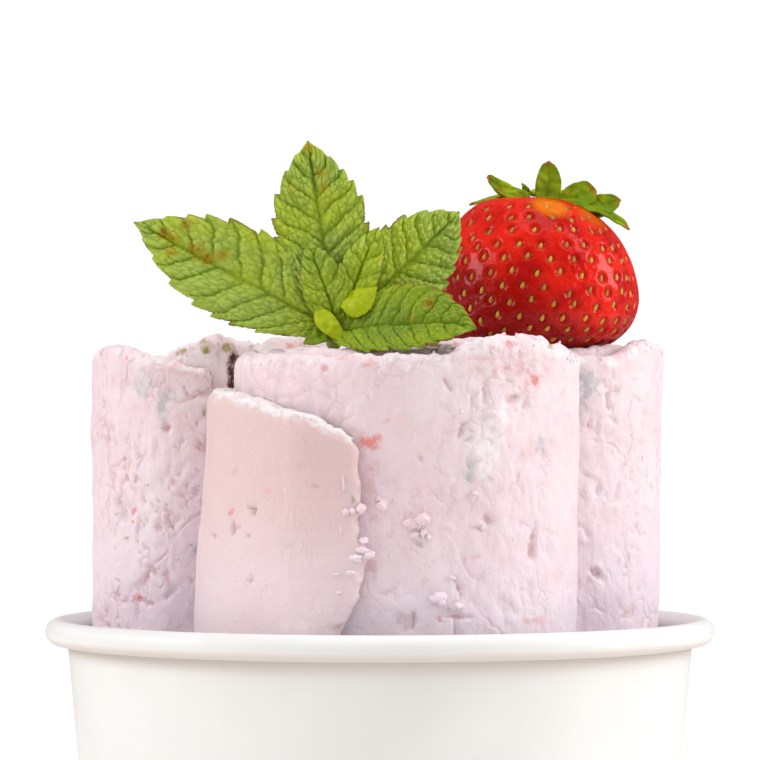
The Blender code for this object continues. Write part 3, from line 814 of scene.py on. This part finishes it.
left_top = [
    (0, 99.0), (10, 99.1), (20, 100.3), (26, 100.5), (34, 101.4), (44, 102.3), (53, 102.7),
    (66, 102.4), (88, 101.5), (130, 100.8), (180, 101.4), (270, 102.4), (335, 102.8), (345, 103.2),
    (352, 103.7), (358, 104.2), (364, 103.5), (375, 102.6), (384, 101.7), (389, 100.3), (410, 99.6),
    (480, 99.4), (560, 101),
]
left_touches = {
    "dent": [
        (-39.6, 97.0, 0.3, 1.2, 0, 0.4), (-38.3, 96.5, 0.3, 1.0, 8, 0.4),
        (-31.1, 90.1, 0.65, 0.55, 0, 0.8), (-25.7, 92.5, 0.4, 0.9, 0, 0.7),
        (-35.6, 87.0, 0.25, 3.0, -5, 0.4), (-31.3, 83.3, 0.3, 1.6, -25, 0.4),
        (-37.5, 78.3, 1.5, 2.3, 20, 0.45), (-32.6, 75.3, 0.3, 1.2, 5, 0.5),
        (-29.2, 78.6, 0.25, 0.25, 0, 0.5), (-26.8, 81.0, 0.7, 0.35, 0, 0.6),
        (-35.0, 67.2, 2.2, 0.7, 40, 0.45), (-30.6, 66.0, 1.7, 0.3, 43, 0.6),
        (-21.6, 96.4, 0.5, 4.0, 0, 1.2),
    ],
    "slate": [
        (-34.7, 97.2, 1.6, 2.6, 0, 0.7), (-31.1, 94.8, 2.0, 1.1, 0, 0.65),
        (-32.0, 93.0, 0.8, 1.8, 0, 0.8), (-38.0, 77.8, 1.0, 2.0, 20, 0.5),
        (-27.0, 72.3, 0.8, 0.9, 0, 1.0), (-24.0, 101.0, 0.6, 1.2, 0, 0.7),
    ],
    "berry": [
        (-37.4, 100.3, 0.6, 0.8, 0, 0.8), (-36.5, 77.8, 0.35, 0.5, 0, 1.0),
        (-36.6, 76.3, 0.5, 0.3, 0, 1.0), (-35.7, 65.3, 0.8, 0.5, 0, 0.9),
        (-23.7, 103.8, 0.9, 0.6, 0, 0.8),
    ],
    "olive": [
        (-25.7, 92.5, 0.5, 1.0, 0, 1.0), (-27.0, 72.0, 0.7, 0.7, 0, 0.4),
        (-29.1, 101.5, 0.9, 0.6, 0, 0.9), (-25.7, 102.2, 0.8, 1.2, 15, 1.0),
        (-22.5, 101.9, 0.7, 1.1, -10, 1.0),
    ],
    # Painted shade by the pits and under the top lip.
    "hollow_shade": [(-37.3, 98.0, 0.9, 2.5, 0, 0.4), (-29.0, 98.2, 2.8, 0.6, -8, 0.5)],
    # Painted shadow: a dark brown stripe where the gap between the left and front rolls lies in shade.
    "crevice_shadow": [(-21.8, 98.4, 0.8, 4.0, 0, 1.0), (-21.6, 94.0, 0.6, 2.6, 0, 1.0)],
    "frost_and_highlight": [(-27.5, 100.6, 3.5, 1.3, 0, 0.9)],
}
roll_left = rolled_sheet(
    "left_roll", (-24.5, 9.6), (20.0, 20.0), -91, 3.4, left_top, (0, 0),
    [(0, 98), (326, 400)], None, 0, 1.0, 1.6, left_touches, [(0, 98, 20, 0.3), (330, 390, 20, 0.4)], 11,
)
served(roll_left, "roll_left")

right_top = [(0, 102.6), (100, 102.9), (136, 103.3), (154, 101.1), (240, 101), (330, 102.4)]
right_touches = {
    "dent": [
        (33.6, 94.0, 0.3, 1.9, 8, 0.6), (34.6, 91.2, 0.3, 1.0, 35, 0.5),
        (32.2, 80.8, 0.3, 0.8, 0, 0.5), (31.0, 83.0, 1.4, 0.25, -25, 0.4),
        (31.9, 68.7, 1.3, 0.6, -38, 0.8), (36.3, 69.7, 0.5, 0.2, 0, 0.5),
        (32.0, 90.0, 0.25, 1.3, 0, 0.4),
    ],
    "berry": [
        (35.3, 100.7, 0.9, 0.9, 0, 0.4), (37.7, 97.4, 0.8, 0.6, 0, 0.35),
        (37.0, 63.0, 1.2, 1.0, 0, 0.4),
    ],
    "slate": [(29.9, 96.0, 2.3, 3.8, 0, 0.9), (32.2, 97.0, 0.8, 0.9, 0, 0.9)],
    "frost_and_highlight": [(31.0, 80.0, 4.0, 13.0, 0, 0.4)],
}
roll_right = rolled_sheet(
    "right_roll", (23.6, 10.4), (19.8, 19.8), 100, 3.4, right_top, (0.9, 0),
    [(95, 190)], None, 0, 0.7, 1.6, right_touches, [(95, 190, 25, 0.3)], 19,
)
served(roll_right, "roll_right")

back_top = [(0, 101.6), (180, 102.4), (360, 101.8)]
roll_back = rolled_sheet(
    "back_roll", (-0.4, 32.0), (13.4, 13.0), 150, 2.1, back_top, (0, 0),
    [], None, 0, 0.7, 1.4, {}, [], 27,
)
served(roll_back, "roll_back")
fallen = crumbs(loose_crumbs)
fallen.data.materials.append(ice_cream)
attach(fallen, "root")

# Mint sprig
# The tip of a mint stem, laid against the front roll and leaning back on it: four large toothed
# leaves, puckered between sunken veins, two small ones, a lime-green bud with a lobe below it,
# and one small leaf tucked in at the foot.

SPRIG_BASE = Vector((-6.6, -29.0, 104.4))
HEART_HALF = (1.9, 1.6, 2.4)
STEM_RADIUS, STEM_LENGTH, STEM_LEAN = 1.1, 9, 68
STEM_MIDDLE = SPRIG_BASE + Vector((0, 3.2, -0.5))
LEAF_THICKNESS = 0.32
VEIN_PAIRS, SMALL_VEIN_PAIRS = 9, 5
LEAF_STAINS = ("vein", "swell", "lime", "scorch", "edge")


def leaf(name, base, tip, facing, half_width, arch=0.1, fold=0.25, teeth=9, lime=0.0, pucker=1.0,
         highlight_share=1.0, dry=0.96, grid=(136, 66), bend=0.0, base_fill=0.55, tip_fill=0.9):
    """A leaf from base to tip with its upper face towards facing.

    arch lifts its middle by a part of its length, fold its sides by a part of their width, bend
    sweeps it sideways, and pucker is the depth of its quilting. A smaller fill widens that end,
    and the leaf is brown beyond dry, a part of its length. Its swellings get a pale painted
    highlight, less on leaves lying in shade.
    """
    base, tip, facing = Vector(base), Vector(tip), Vector(facing)
    bpy.ops.mesh.primitive_grid_add(x_subdivisions=grid[0], y_subdivisions=grid[1], size=1)
    blade = bpy.context.object
    blade.name = name
    flat = corners(blade)
    part = flat[:, 0] + 0.5
    side = np.clip(2 * flat[:, 1], -1, 1)
    spine = tip - base
    length = spine.length
    along = spine.normalized()
    up = (facing - along * facing.dot(along)).normalized()
    across = up.cross(along)
    shape = (part + 0.02) ** base_fill * (1.006 - part) ** tip_fill
    shape *= np.minimum(1, (1.006 - part) / 0.09) ** 0.4 / shape.max()
    out = np.abs(side)
    tooth = (part * teeth + 0.25 * np.sin(11 * part + 2 * np.sign(side))) % 1 if teeth else 1
    notched = ramp(part, 0.08, 0.2) * (1 - ramp(part, 0.93, 0.99))
    shape = shape * (1 - 0.13 * out**6 * (1 - tooth) ** 1.4 * notched)
    width = side * half_width * shape
    seed = len(name) + length
    lift = arch * length * np.sin(pi * part) + fold * np.abs(width)
    spots = np.stack([part * 6, side * 1.5, np.full(len(part), length)], 1)
    lift += 0.5 * unevenness(spots, 1.0, 5, 1) * shape

    veins = VEIN_PAIRS if teeth > 6 else SMALL_VEIN_PAIRS
    phase = (part - 0.2 * out**1.25 * (1 - 0.55 * part)) * veins + 0.12 * np.sign(side)
    phase += 0.3 * unevenness(spots, 1.2, seed + 9, 2)
    off_vein = np.abs(phase - np.rint(phase))
    quilt = np.stack([phase * 3.0, np.abs(width) / 0.75, 7 * np.sign(side) + seed], 1)
    wander = np.stack([unevenness(quilt, 1.3, k, 2) for k in (2, 6)] + [np.zeros(len(part))], 1)
    cell_height, gap = flakes(quilt + 0.3 * wander, 1.0, 4)
    inside = ramp(gap, 0.0, 0.36)
    rib = np.exp(-((width / 0.3) ** 2)) * (1 - 0.5 * part)
    vein = np.exp(-((off_vein / (0.085 + 0.03 * out)) ** 2))
    vein *= ramp(out, 0.0, 0.12) * (1 - ramp(out, 0.86, 1))
    swell = 0.38 * np.sqrt(np.abs(np.sin(pi * phase))) + 0.25 * inside + 0.09 * cell_height
    swell *= ramp(out, 0, 0.16) * (1 - 0.6 * ramp(out, 0.82, 1))
    swell *= ramp(part, 0, 0.1) * (1 - ramp(part, 0.93, 1))
    lift += pucker * (swell - 0.35 * rib - 0.12 * vein) * min(1, half_width / 6)
    forward = 0.03 * out**8 * np.sin(pi * part) * length * (1 + 0.35 * tooth) if teeth else 0
    aside = width + bend * length * np.sin(pi * part)
    place = np.outer(length * part + forward, along) + np.outer(aside, across)
    place += np.outer(lift, up) + np.array(base)
    blade.data.vertices.foreach_set("co", (place * MM).ravel())
    margin = ramp(out, 0.88, 1.0)
    spread = unevenness(spots, 1.6, seed, 3)
    values = {
        "vein": np.maximum(0.85 * rib, 0.4 * vein),
        # Painted highlight on the swellings between the veins, scaled down for leaves in shade.
        "swell": highlight_share * (0.45 + 0.55 * inside) * ramp(np.abs(np.sin(pi * phase)), -0.25, 0.6),
        "lime": np.full(len(part), lime) + 0.2 * (1 - part) * (lime > 0),
        "scorch": np.zeros(len(part)),
        "edge": np.maximum(
            margin * ramp(spread, -0.35, 0.25) * (1 if teeth else 0.35),
            ramp(part + 0.04 * spread, dry, dry + 0.08),
        ),
    }
    for stain, painted in values.items():
        paint(blade, stain, np.clip(painted, 0, 1))
    solid = blade.modifiers.new("blade", "SOLIDIFY")
    solid.thickness = LEAF_THICKNESS * MM
    solid.offset = 0
    bpy.ops.object.modifier_apply(modifier=solid.name)
    bpy.ops.object.shade_smooth()
    return blade


def scorched(blade, marks):
    """Brown and orange marks on a leaf, each at (x, z, radius, strength) as seen from the front."""
    points = corners(blade) / MM
    burn = np.zeros(len(points))
    for x, z, radius, strength in marks:
        far = np.hypot(points[:, 0] - x, points[:, 2] - z) / radius
        burn = np.maximum(burn, strength * (1 - ramp(far, 0.2, 1.2)))
    blade.data.attributes["scorch"].data.foreach_set("value", burn)


# Leaves lying low or under others get less painted highlight on their swellings.
LEAVES = {
    "left_leaf": dict(
        base=(-6.2, -28.4, 103.9), tip=(-35.2, -21, 119.6), facing=(-0.1, -1, 0.3), half_width=7.3,
        arch=0.05, bend=0.012, dry=0.94, base_fill=0.9, tip_fill=1.15),
    "upright_leaf": dict(
        base=(-6.4, -28.0, 105.2), tip=(-10.4, -20, 131.3), facing=(0, -1, 0.25), half_width=6.9,
        arch=0.03, highlight_share=0.75, base_fill=0.95, tip_fill=1.1),
    "right_leaf": dict(
        base=(-5.7, -28.0, 104.4), tip=(11.4, -20, 121.1), facing=(0.2, -1, 0.0), half_width=6.4,
        arch=0.06, highlight_share=0.7, base_fill=0.9, tip_fill=1.05),
    "low_leaf": dict(
        base=(-6.4, -30.6, 103.0), tip=(13.3, -36.5, 103.9), facing=(0.1, -1, 0.8), half_width=6.5,
        arch=0.07, highlight_share=0.35, base_fill=0.75, tip_fill=0.85),
    "small_left_leaf": dict(
        base=(-5.9, -30.0, 104.2), tip=(-10.2, -27, 116.1), facing=(0, -1, 0.25), half_width=3.0,
        arch=0.12, teeth=6, lime=0.1, pucker=1.7, highlight_share=0.6, grid=(80, 44), base_fill=0.75,
        tip_fill=0.95),
    "small_right_leaf": dict(
        base=(-5.4, -29.6, 104.9), tip=(-0.2, -27, 118.4), facing=(0, -1, 0.25), half_width=3.0,
        arch=0.1, teeth=6, lime=0.08, pucker=1.7, highlight_share=0.6, grid=(80, 44), base_fill=0.75,
        tip_fill=0.95),
    "bud": dict(
        base=(-5.2, -32.2, 106.7), tip=(-0.5, -31.0, 109.8), facing=(-0.5, -1, 0.6), half_width=2.5,
        arch=0.12, teeth=0, fold=-0.5, lime=1.0, pucker=0.25, grid=(40, 24)),
    "lobe": dict(
        base=(-8.9, -31.2, 106.4), tip=(-4.8, -32.4, 102.0), facing=(-0.2, -1, 0.2), half_width=1.35,
        arch=0.15, teeth=0, fold=-0.3, lime=0.9, pucker=0.2, grid=(40, 20)),
    # The tucked leaf gets hardly any highlight: painted shade under the lobe.
    "tucked_leaf": dict(
        base=(-6.3, -29.8, 103.8), tip=(-10.7, -31.0, 101.8), facing=(-0.3, -1, 0.3), half_width=1.5,
        teeth=0, pucker=0.3, highlight_share=0.1, grid=(40, 20)),
}
SCORCHED = {
    "left_leaf": [
        (-31.0, 117.8, 1.1, 1.0), (-29.3, 117.3, 1.0, 0.8), (-26.0, 115.3, 2.0, 0.7),
        (-24.3, 114.0, 1.2, 1.0), (-30.0, 115.0, 1.6, 0.5), (-22.3, 114.5, 1.3, 0.6),
        (-27.5, 118.8, 1.4, 0.6),
    ],
    "upright_leaf": [
        (-10.2, 130.2, 1.2, 0.5), (-8.3, 126.5, 1.2, 0.55), (-8.0, 124.4, 1.0, 0.45),
        (-12.4, 124.2, 0.8, 0.5),
    ],
    "low_leaf": [(6.8, 107.3, 0.9, 1.0), (4.6, 105.2, 0.7, 0.5)],
}
leaves = {name: leaf(name, **shape) for name, shape in LEAVES.items()}
for name, marks in SCORCHED.items():
    scorched(leaves[name], marks)
bpy.ops.mesh.primitive_uv_sphere_add(segments=32, ring_count=20, radius=MM, location=SPRIG_BASE * MM)
heart = bpy.context.object
heart.scale = HEART_HALF
bpy.ops.object.transform_apply(location=True, rotation=True, scale=True)
bpy.ops.object.shade_smooth()
bpy.ops.mesh.primitive_cylinder_add(vertices=24, radius=STEM_RADIUS * MM, depth=STEM_LENGTH * MM)
stem = bpy.context.object
stem.rotation_euler = (radians(STEM_LEAN), 0, 0)
stem.location = STEM_MIDDLE * MM
bpy.ops.object.transform_apply(location=True, rotation=True, scale=True)
bpy.ops.object.shade_smooth_by_angle(angle=radians(35))
# With empty stains the heart and stem take the dark green painted shade.
for rest in (heart, stem):
    for stain in LEAF_STAINS:
        rest.data.attributes.new(stain, "FLOAT", "POINT")
mint = joined("mint", [heart, stem, *leaves.values()])


def mint_finish():
    """Deep green with painted shade in the hollows, a pale painted highlight on the swellings, lime in
    the bud and brown where it burnt.
    """
    green = Finish("mint_leaf", 0.42, 0.23)
    cloud = green.spread(green.noise(120, 3), 0.35, 0.65)
    # Dark green for the grooves and hollows as painted shade, pale green for the swellings as a painted
    # highlight.
    deep_shade = green.blend(cloud, (0.13, 0.225, 0.003), (0.21, 0.31, 0.003))
    raised_highlight = green.blend(cloud, (0.36, 0.48, 0.07), (0.42, 0.52, 0.03))
    colour = green.blend(green.spread(green.painted("swell"), 0.0, 0.9, 0.05), deep_shade, raised_highlight)
    vein = green.spread(green.painted("vein"), 0.25, 1.0, 0, 0.6)
    colour = green.blend(vein, colour, (0.36, 0.46, 0.09))
    colour = green.blend(green.painted("lime"), colour, (0.38, 0.465, 0.001))
    fleck = green.spread(green.noise(700, 3), 0.42, 0.6)
    burn = green.times(green.painted("scorch"), green.spread(fleck, 0, 1, 0.55, 1.3))
    colour = green.blend(green.spread(burn, 0.05, 0.55, 0, 0.8), colour, (0.38, 0.30, 0.006))
    colour = green.blend(green.spread(burn, 0.55, 1.0, 0, 0.85), colour, (0.25, 0.12, 0.008))
    dead = green.spread(green.painted("edge"), 0.2, 1.0, 0, 0.75)
    colour = green.blend(dead, colour, (0.23, 0.12, 0.015))
    pores = green.cells(1250, green.wander(600, 0.0006)).outputs["Distance"]
    bumps = green.relief(pores, 0.0003, 0.4)
    fine = green.relief(green.noise(1400, 4, 0.6), 0.0001, 0.5, bumps)
    return green.done(colour, fine, green.spread(cloud, 0, 1, 0.34, 0.46))


mint.data.materials.append(mint_finish())
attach(mint, "root")
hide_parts("mint_sprig")

# Strawberry
# A broad, glossy berry set down on the front and right rolls, red all over but for an orange
# blush under the calyx. Each seed sits in its own dimple, its point towards the berry's tip.

BERRY_UPPER = 16.8
BERRY_SHOULDER = 2.2
BERRY_DIMPLE = 1.2
BERRY_SWEEP = 0.0065
SEED_COUNT = 365
SEED_HALF = (0.34, 0.6, 0.27)
SEED_REACH = 0.93
SEED_SCATTER = 0.014
SEED_LIFT = 0.14
SEEDLESS_TOP = 0.13
DIMPLE_RADIUS, DIMPLE_DEPTH = 1.15, 0.5
GOLDEN_ANGLE = pi * (3 - sqrt(5))
BERRY_AXIS = Vector((0.36, 0.12, 1)).normalized()


def berry_profile(part):
    """(radius, height) of the strawberry's outline, part 0 at the calyx and 1 at the tip."""
    upper = part < 0.5
    power = np.where(upper, 2 / BERRY_SHOULDER, 2 / BERRY_BLUNTNESS)
    radius = BERRY_RADIUS * np.clip(np.sin(pi * part), 0, 1) ** power
    height = np.where(upper, BERRY_UPPER, -BERRY_LOWER) * np.abs(np.cos(pi * part)) ** power
    return radius, height - BERRY_DIMPLE * np.clip(1 - part / 0.17, 0, 1) ** 2


bpy.ops.mesh.primitive_uv_sphere_add(segments=300, ring_count=190, radius=1)
berry = bpy.context.object
berry.name = "strawberry_flesh"
ball = corners(berry)
part = np.arccos(np.clip(ball[:, 2], -1, 1)) / pi
turn = np.arctan2(ball[:, 1], ball[:, 0])
radius, height = berry_profile(part)
skin = np.stack([radius * np.cos(turn), radius * np.sin(turn), height], 1)
skin[:, 0] += BERRY_LEAN * np.minimum(0, skin[:, 2]) - BERRY_SWEEP * np.maximum(0, skin[:, 2]) ** 2
lumps = unevenness(skin, 9, 4, 2)
away = skin / np.linalg.norm(skin, axis=1)[:, None]
skin -= away * (0.12 * (1 - lumps))[:, None]
berry.data.vertices.foreach_set("co", skin.ravel())
berry.data.update()
normals = corners(berry, "normal")
tilt = Vector((0, 0, 1)).rotation_difference(BERRY_AXIS).to_matrix()
seats = []
draw = np.random.default_rng(5)
for i in range(SEED_COUNT):
    rise = SEED_REACH * (1 - 2 * (i + 0.5) / SEED_COUNT)
    around = i * GOLDEN_ANGLE
    level = sqrt(1 - rise * rise)
    way = tilt @ Vector((level * cos(around), level * sin(around), rise))
    seats.append(int(np.argmax(away @ (np.array(way) + draw.normal(0, SEED_SCATTER, 3)))))
seats = [s for s in dict.fromkeys(seats) if part[s] > SEEDLESS_TOP]
places, facings = skin[seats], normals[seats]
nearest = np.full(len(skin), 99.0)
for place in places:
    nearest = np.minimum(nearest, np.linalg.norm(skin - place, axis=1))
sunk = DIMPLE_DEPTH * (1 - ramp(nearest, 0.1, DIMPLE_RADIUS))
skin += normals * (0.05 * (1 - ramp(nearest, DIMPLE_RADIUS, 1.8 * DIMPLE_RADIUS)) - sunk)[:, None]
skin += normals * (0.035 * unevenness(skin, 1.6, 8, 2))[:, None]
berry.data.vertices.foreach_set("co", ((skin + np.array(BERRY_WAIST)) * MM).ravel())
blush = 1 - ramp(np.linalg.norm(skin - np.array((1.6, -7.8, 14.0)), axis=1), 1.0, 4.6)
shoulder = 1 - ramp(np.linalg.norm(skin - np.array((7.6, -5.4, 12.6)), axis=1), 1.0, 5.0)
stains = {
    "blush": np.maximum(blush, 0.5 * shoulder),
    # Painted shade: darker red in the dimples round the seeds.
    "dimple_shade": 1 - ramp(nearest, 0.4, 1.3),
    # Painted shade: darker red towards the lower left and the bottom, where the berry lies in shade.
    "deep_shade": 1 - ramp(0.5 * skin[:, 0] + skin[:, 2] + 1.5 * lumps, -9, 8),
}
for stain, painted in stains.items():
    paint(berry, stain, painted)
berry.data.update()
bpy.ops.object.shade_smooth()

bpy.ops.mesh.primitive_ico_sphere_add(subdivisions=2, radius=1)
seed = bpy.context.object
for corner in seed.data.vertices:
    corner.co.x *= 1 - 0.35 * corner.co.y
    corner.co = Vector([c * half * MM for c, half in zip(corner.co, SEED_HALF)])
bpy.ops.object.shade_smooth()
seeds = []
for place, facing in zip(places, facings):
    outward = Vector(facing).normalized()
    to_crown = (BERRY_AXIS - outward * BERRY_AXIS.dot(outward)).normalized()
    beside = to_crown.cross(outward)
    copy = seed.copy()
    copy.data = seed.data.copy()
    bpy.context.collection.objects.link(copy)
    frame_of_seed = Matrix((beside, to_crown, outward)).transposed().to_4x4()
    seat = (Vector(place) + BERRY_WAIST - outward * (DIMPLE_DEPTH - SEED_LIFT)) * MM
    copy.data.transform(Matrix.Translation(seat) @ frame_of_seed)
    seeds.append(copy)
bpy.data.objects.remove(seed)
achenes = joined("strawberry_seeds", seeds)


def berry_finish():
    """Glossy red, with painted shade low down on the left and in the dimples, and the orange blush."""
    red = Finish("strawberry_skin", 0.3, 0.08)
    cloud = red.spread(red.noise(180, 4), 0.35, 0.65)
    colour = red.blend(cloud, (0.50, 0.0025, 0.001), (0.82, 0.014, 0.002))
    paints = (
        ("dimple_shade", 0, 0.5, (0.38, 0.003, 0.001)),
        ("deep_shade", 0, 0.9, (0.25, 0.0008, 0.0004)),
        ("blush", 0.05, 0.95, (0.82, 0.19, 0.001)),
    )
    for stain, least, most, tint in paints:
        colour = red.blend(red.spread(red.painted(stain), least, 1, 0, most), colour, tint)
    fine = red.relief(red.noise(800, 4, 0.6), 0.00025, 0.7)
    uneven = red.relief(red.noise(330, 3, 0.6), 0.0011, 0.85, fine)
    red.shader.inputs["Coat Weight"].default_value = 0.27
    red.shader.inputs["Coat Roughness"].default_value = 0.07
    return red.done(colour, uneven, red.spread(cloud, 0, 1, 0.24, 0.36))


def seed_finish():
    husk = Finish("strawberry_seed", 0.4, 0.5)
    tone = husk.spread(husk.noise(260, 2), 0.35, 0.65)
    colour = husk.blend(tone, (0.42, 0.16, 0.006), (0.64, 0.36, 0.03))
    return husk.done(colour, husk.relief(husk.noise(2500, 2), 0.00005, 0.3))


berry.data.materials.append(berry_finish())
achenes.data.materials.append(seed_finish())
for fruit in (berry, achenes):
    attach(fruit, "root")
    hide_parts("strawberry")

# Calyx
# The green star of narrow sepals at the top of the berry. Some lie along its shoulder, and the
# ones in front stand up, with dry brown tips.

HUB_HALF = (2.6, 2.4, 0.6)
HUB_MIDDLE = Vector((25.4, 9.3, 124.9))
# (base, tip, facing, half width, arch, sideways bend, fill at the base, fill at the tip)
SEPALS = [
    ((25.2, 8.0, 124.6), (25.6, 8.3, 130.8), (0.0, -1.0, 0.1), 1.95, -0.06, -0.04, 0.36, 0.6),
    ((27.0, 8.2, 123.6), (32.7, 7.4, 126.4), (0.2, -1.0, 0.4), 2.1, 0.06, 0.0, 0.4, 0.3),
    ((30.4, 7.4, 122.4), (36.5, 7.0, 124.8), (0.1, -1.0, 0.5), 1.9, -0.06, 0.05, 0.5, 0.6),
    ((27.2, 7.2, 124.6), (37.8, 7.0, 120.3), (0.4, -0.8, 0.9), 1.25, 0.1, 0.0, 0.4, 0.55),
    ((22.6, 8.0, 125.3), (16.3, 7.4, 128.4), (0.1, -1.0, 0.4), 1.05, 0.0, 0.13, 0.3, 0.35),
    ((22.8, 7.4, 125.1), (17.9, 6.0, 126.0), (0.1, -1.0, 0.7), 1.05, 0.0, 0.03, 0.3, 0.3),
    ((22.4, 9.0, 125.4), (13.6, 8.8, 124.2), (-0.2, -0.6, 1.0), 0.55, 0.06, 0.0, 0.3, 0.6),
    ((22.8, 8.8, 125.6), (21.6, 8.5, 127.4), (0.0, -1.0, 0.2), 0.42, 0.0, 0.0, 0.3, 0.7),
    ((26.0, 10.6, 125.4), (28.8, 18.4, 124.6), (0.1, 0.3, 1.0), 1.5, 0.12, 0.0, 0.5, 0.6),
    ((24.8, 10.4, 125.4), (21.2, 16.6, 125.6), (-0.1, 0.3, 1.0), 1.3, 0.1, 0.0, 0.5, 0.6),
    ((27.0, 10.0, 125.2), (34.4, 14.4, 123.8), (0.3, 0.2, 1.0), 1.3, 0.14, 0.0, 0.5, 0.6),
]
sepals = []
for i, (foot, tip, facing, half_width, arch, bend, base_fill, tip_fill) in enumerate(SEPALS):
    sepals.append(leaf(f"sepal_{i}", foot, tip, facing, half_width, arch=arch, fold=0.3, teeth=0,
                       pucker=0.12, dry=0.86, grid=(44, 20), bend=bend, base_fill=base_fill,
                       tip_fill=tip_fill))
bpy.ops.mesh.primitive_uv_sphere_add(segments=28, ring_count=14, radius=MM)
hub = bpy.context.object
hub.scale = HUB_HALF
hub.location = HUB_MIDDLE * MM
bpy.ops.object.transform_apply(location=True, rotation=True, scale=True)
bpy.ops.object.shade_smooth()
for stain in LEAF_STAINS:
    hub.data.attributes.new(stain, "FLOAT", "POINT")
star = joined("calyx_star", [hub] + sepals)


def sepal_finish():
    green = Finish("calyx_leaf", 0.5, 0.14)
    cloud = green.spread(green.noise(200, 3), 0.35, 0.65)
    colour = green.blend(cloud, (0.17, 0.27, 0.002), (0.37, 0.47, 0.003))
    rib = green.spread(green.painted("vein"), 0.2, 1, 0, 0.6)
    colour = green.blend(rib, colour, (0.09, 0.16, 0.002))
    dead = green.spread(green.painted("edge"), 0.3, 1.0, 0, 0.8)
    colour = green.blend(dead, colour, (0.36, 0.15, 0.008))
    return green.done(colour, green.relief(green.noise(1200, 3), 0.00008, 0.4))


star.data.materials.append(sepal_finish())
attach(star, "root")
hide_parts("strawberry_calyx")
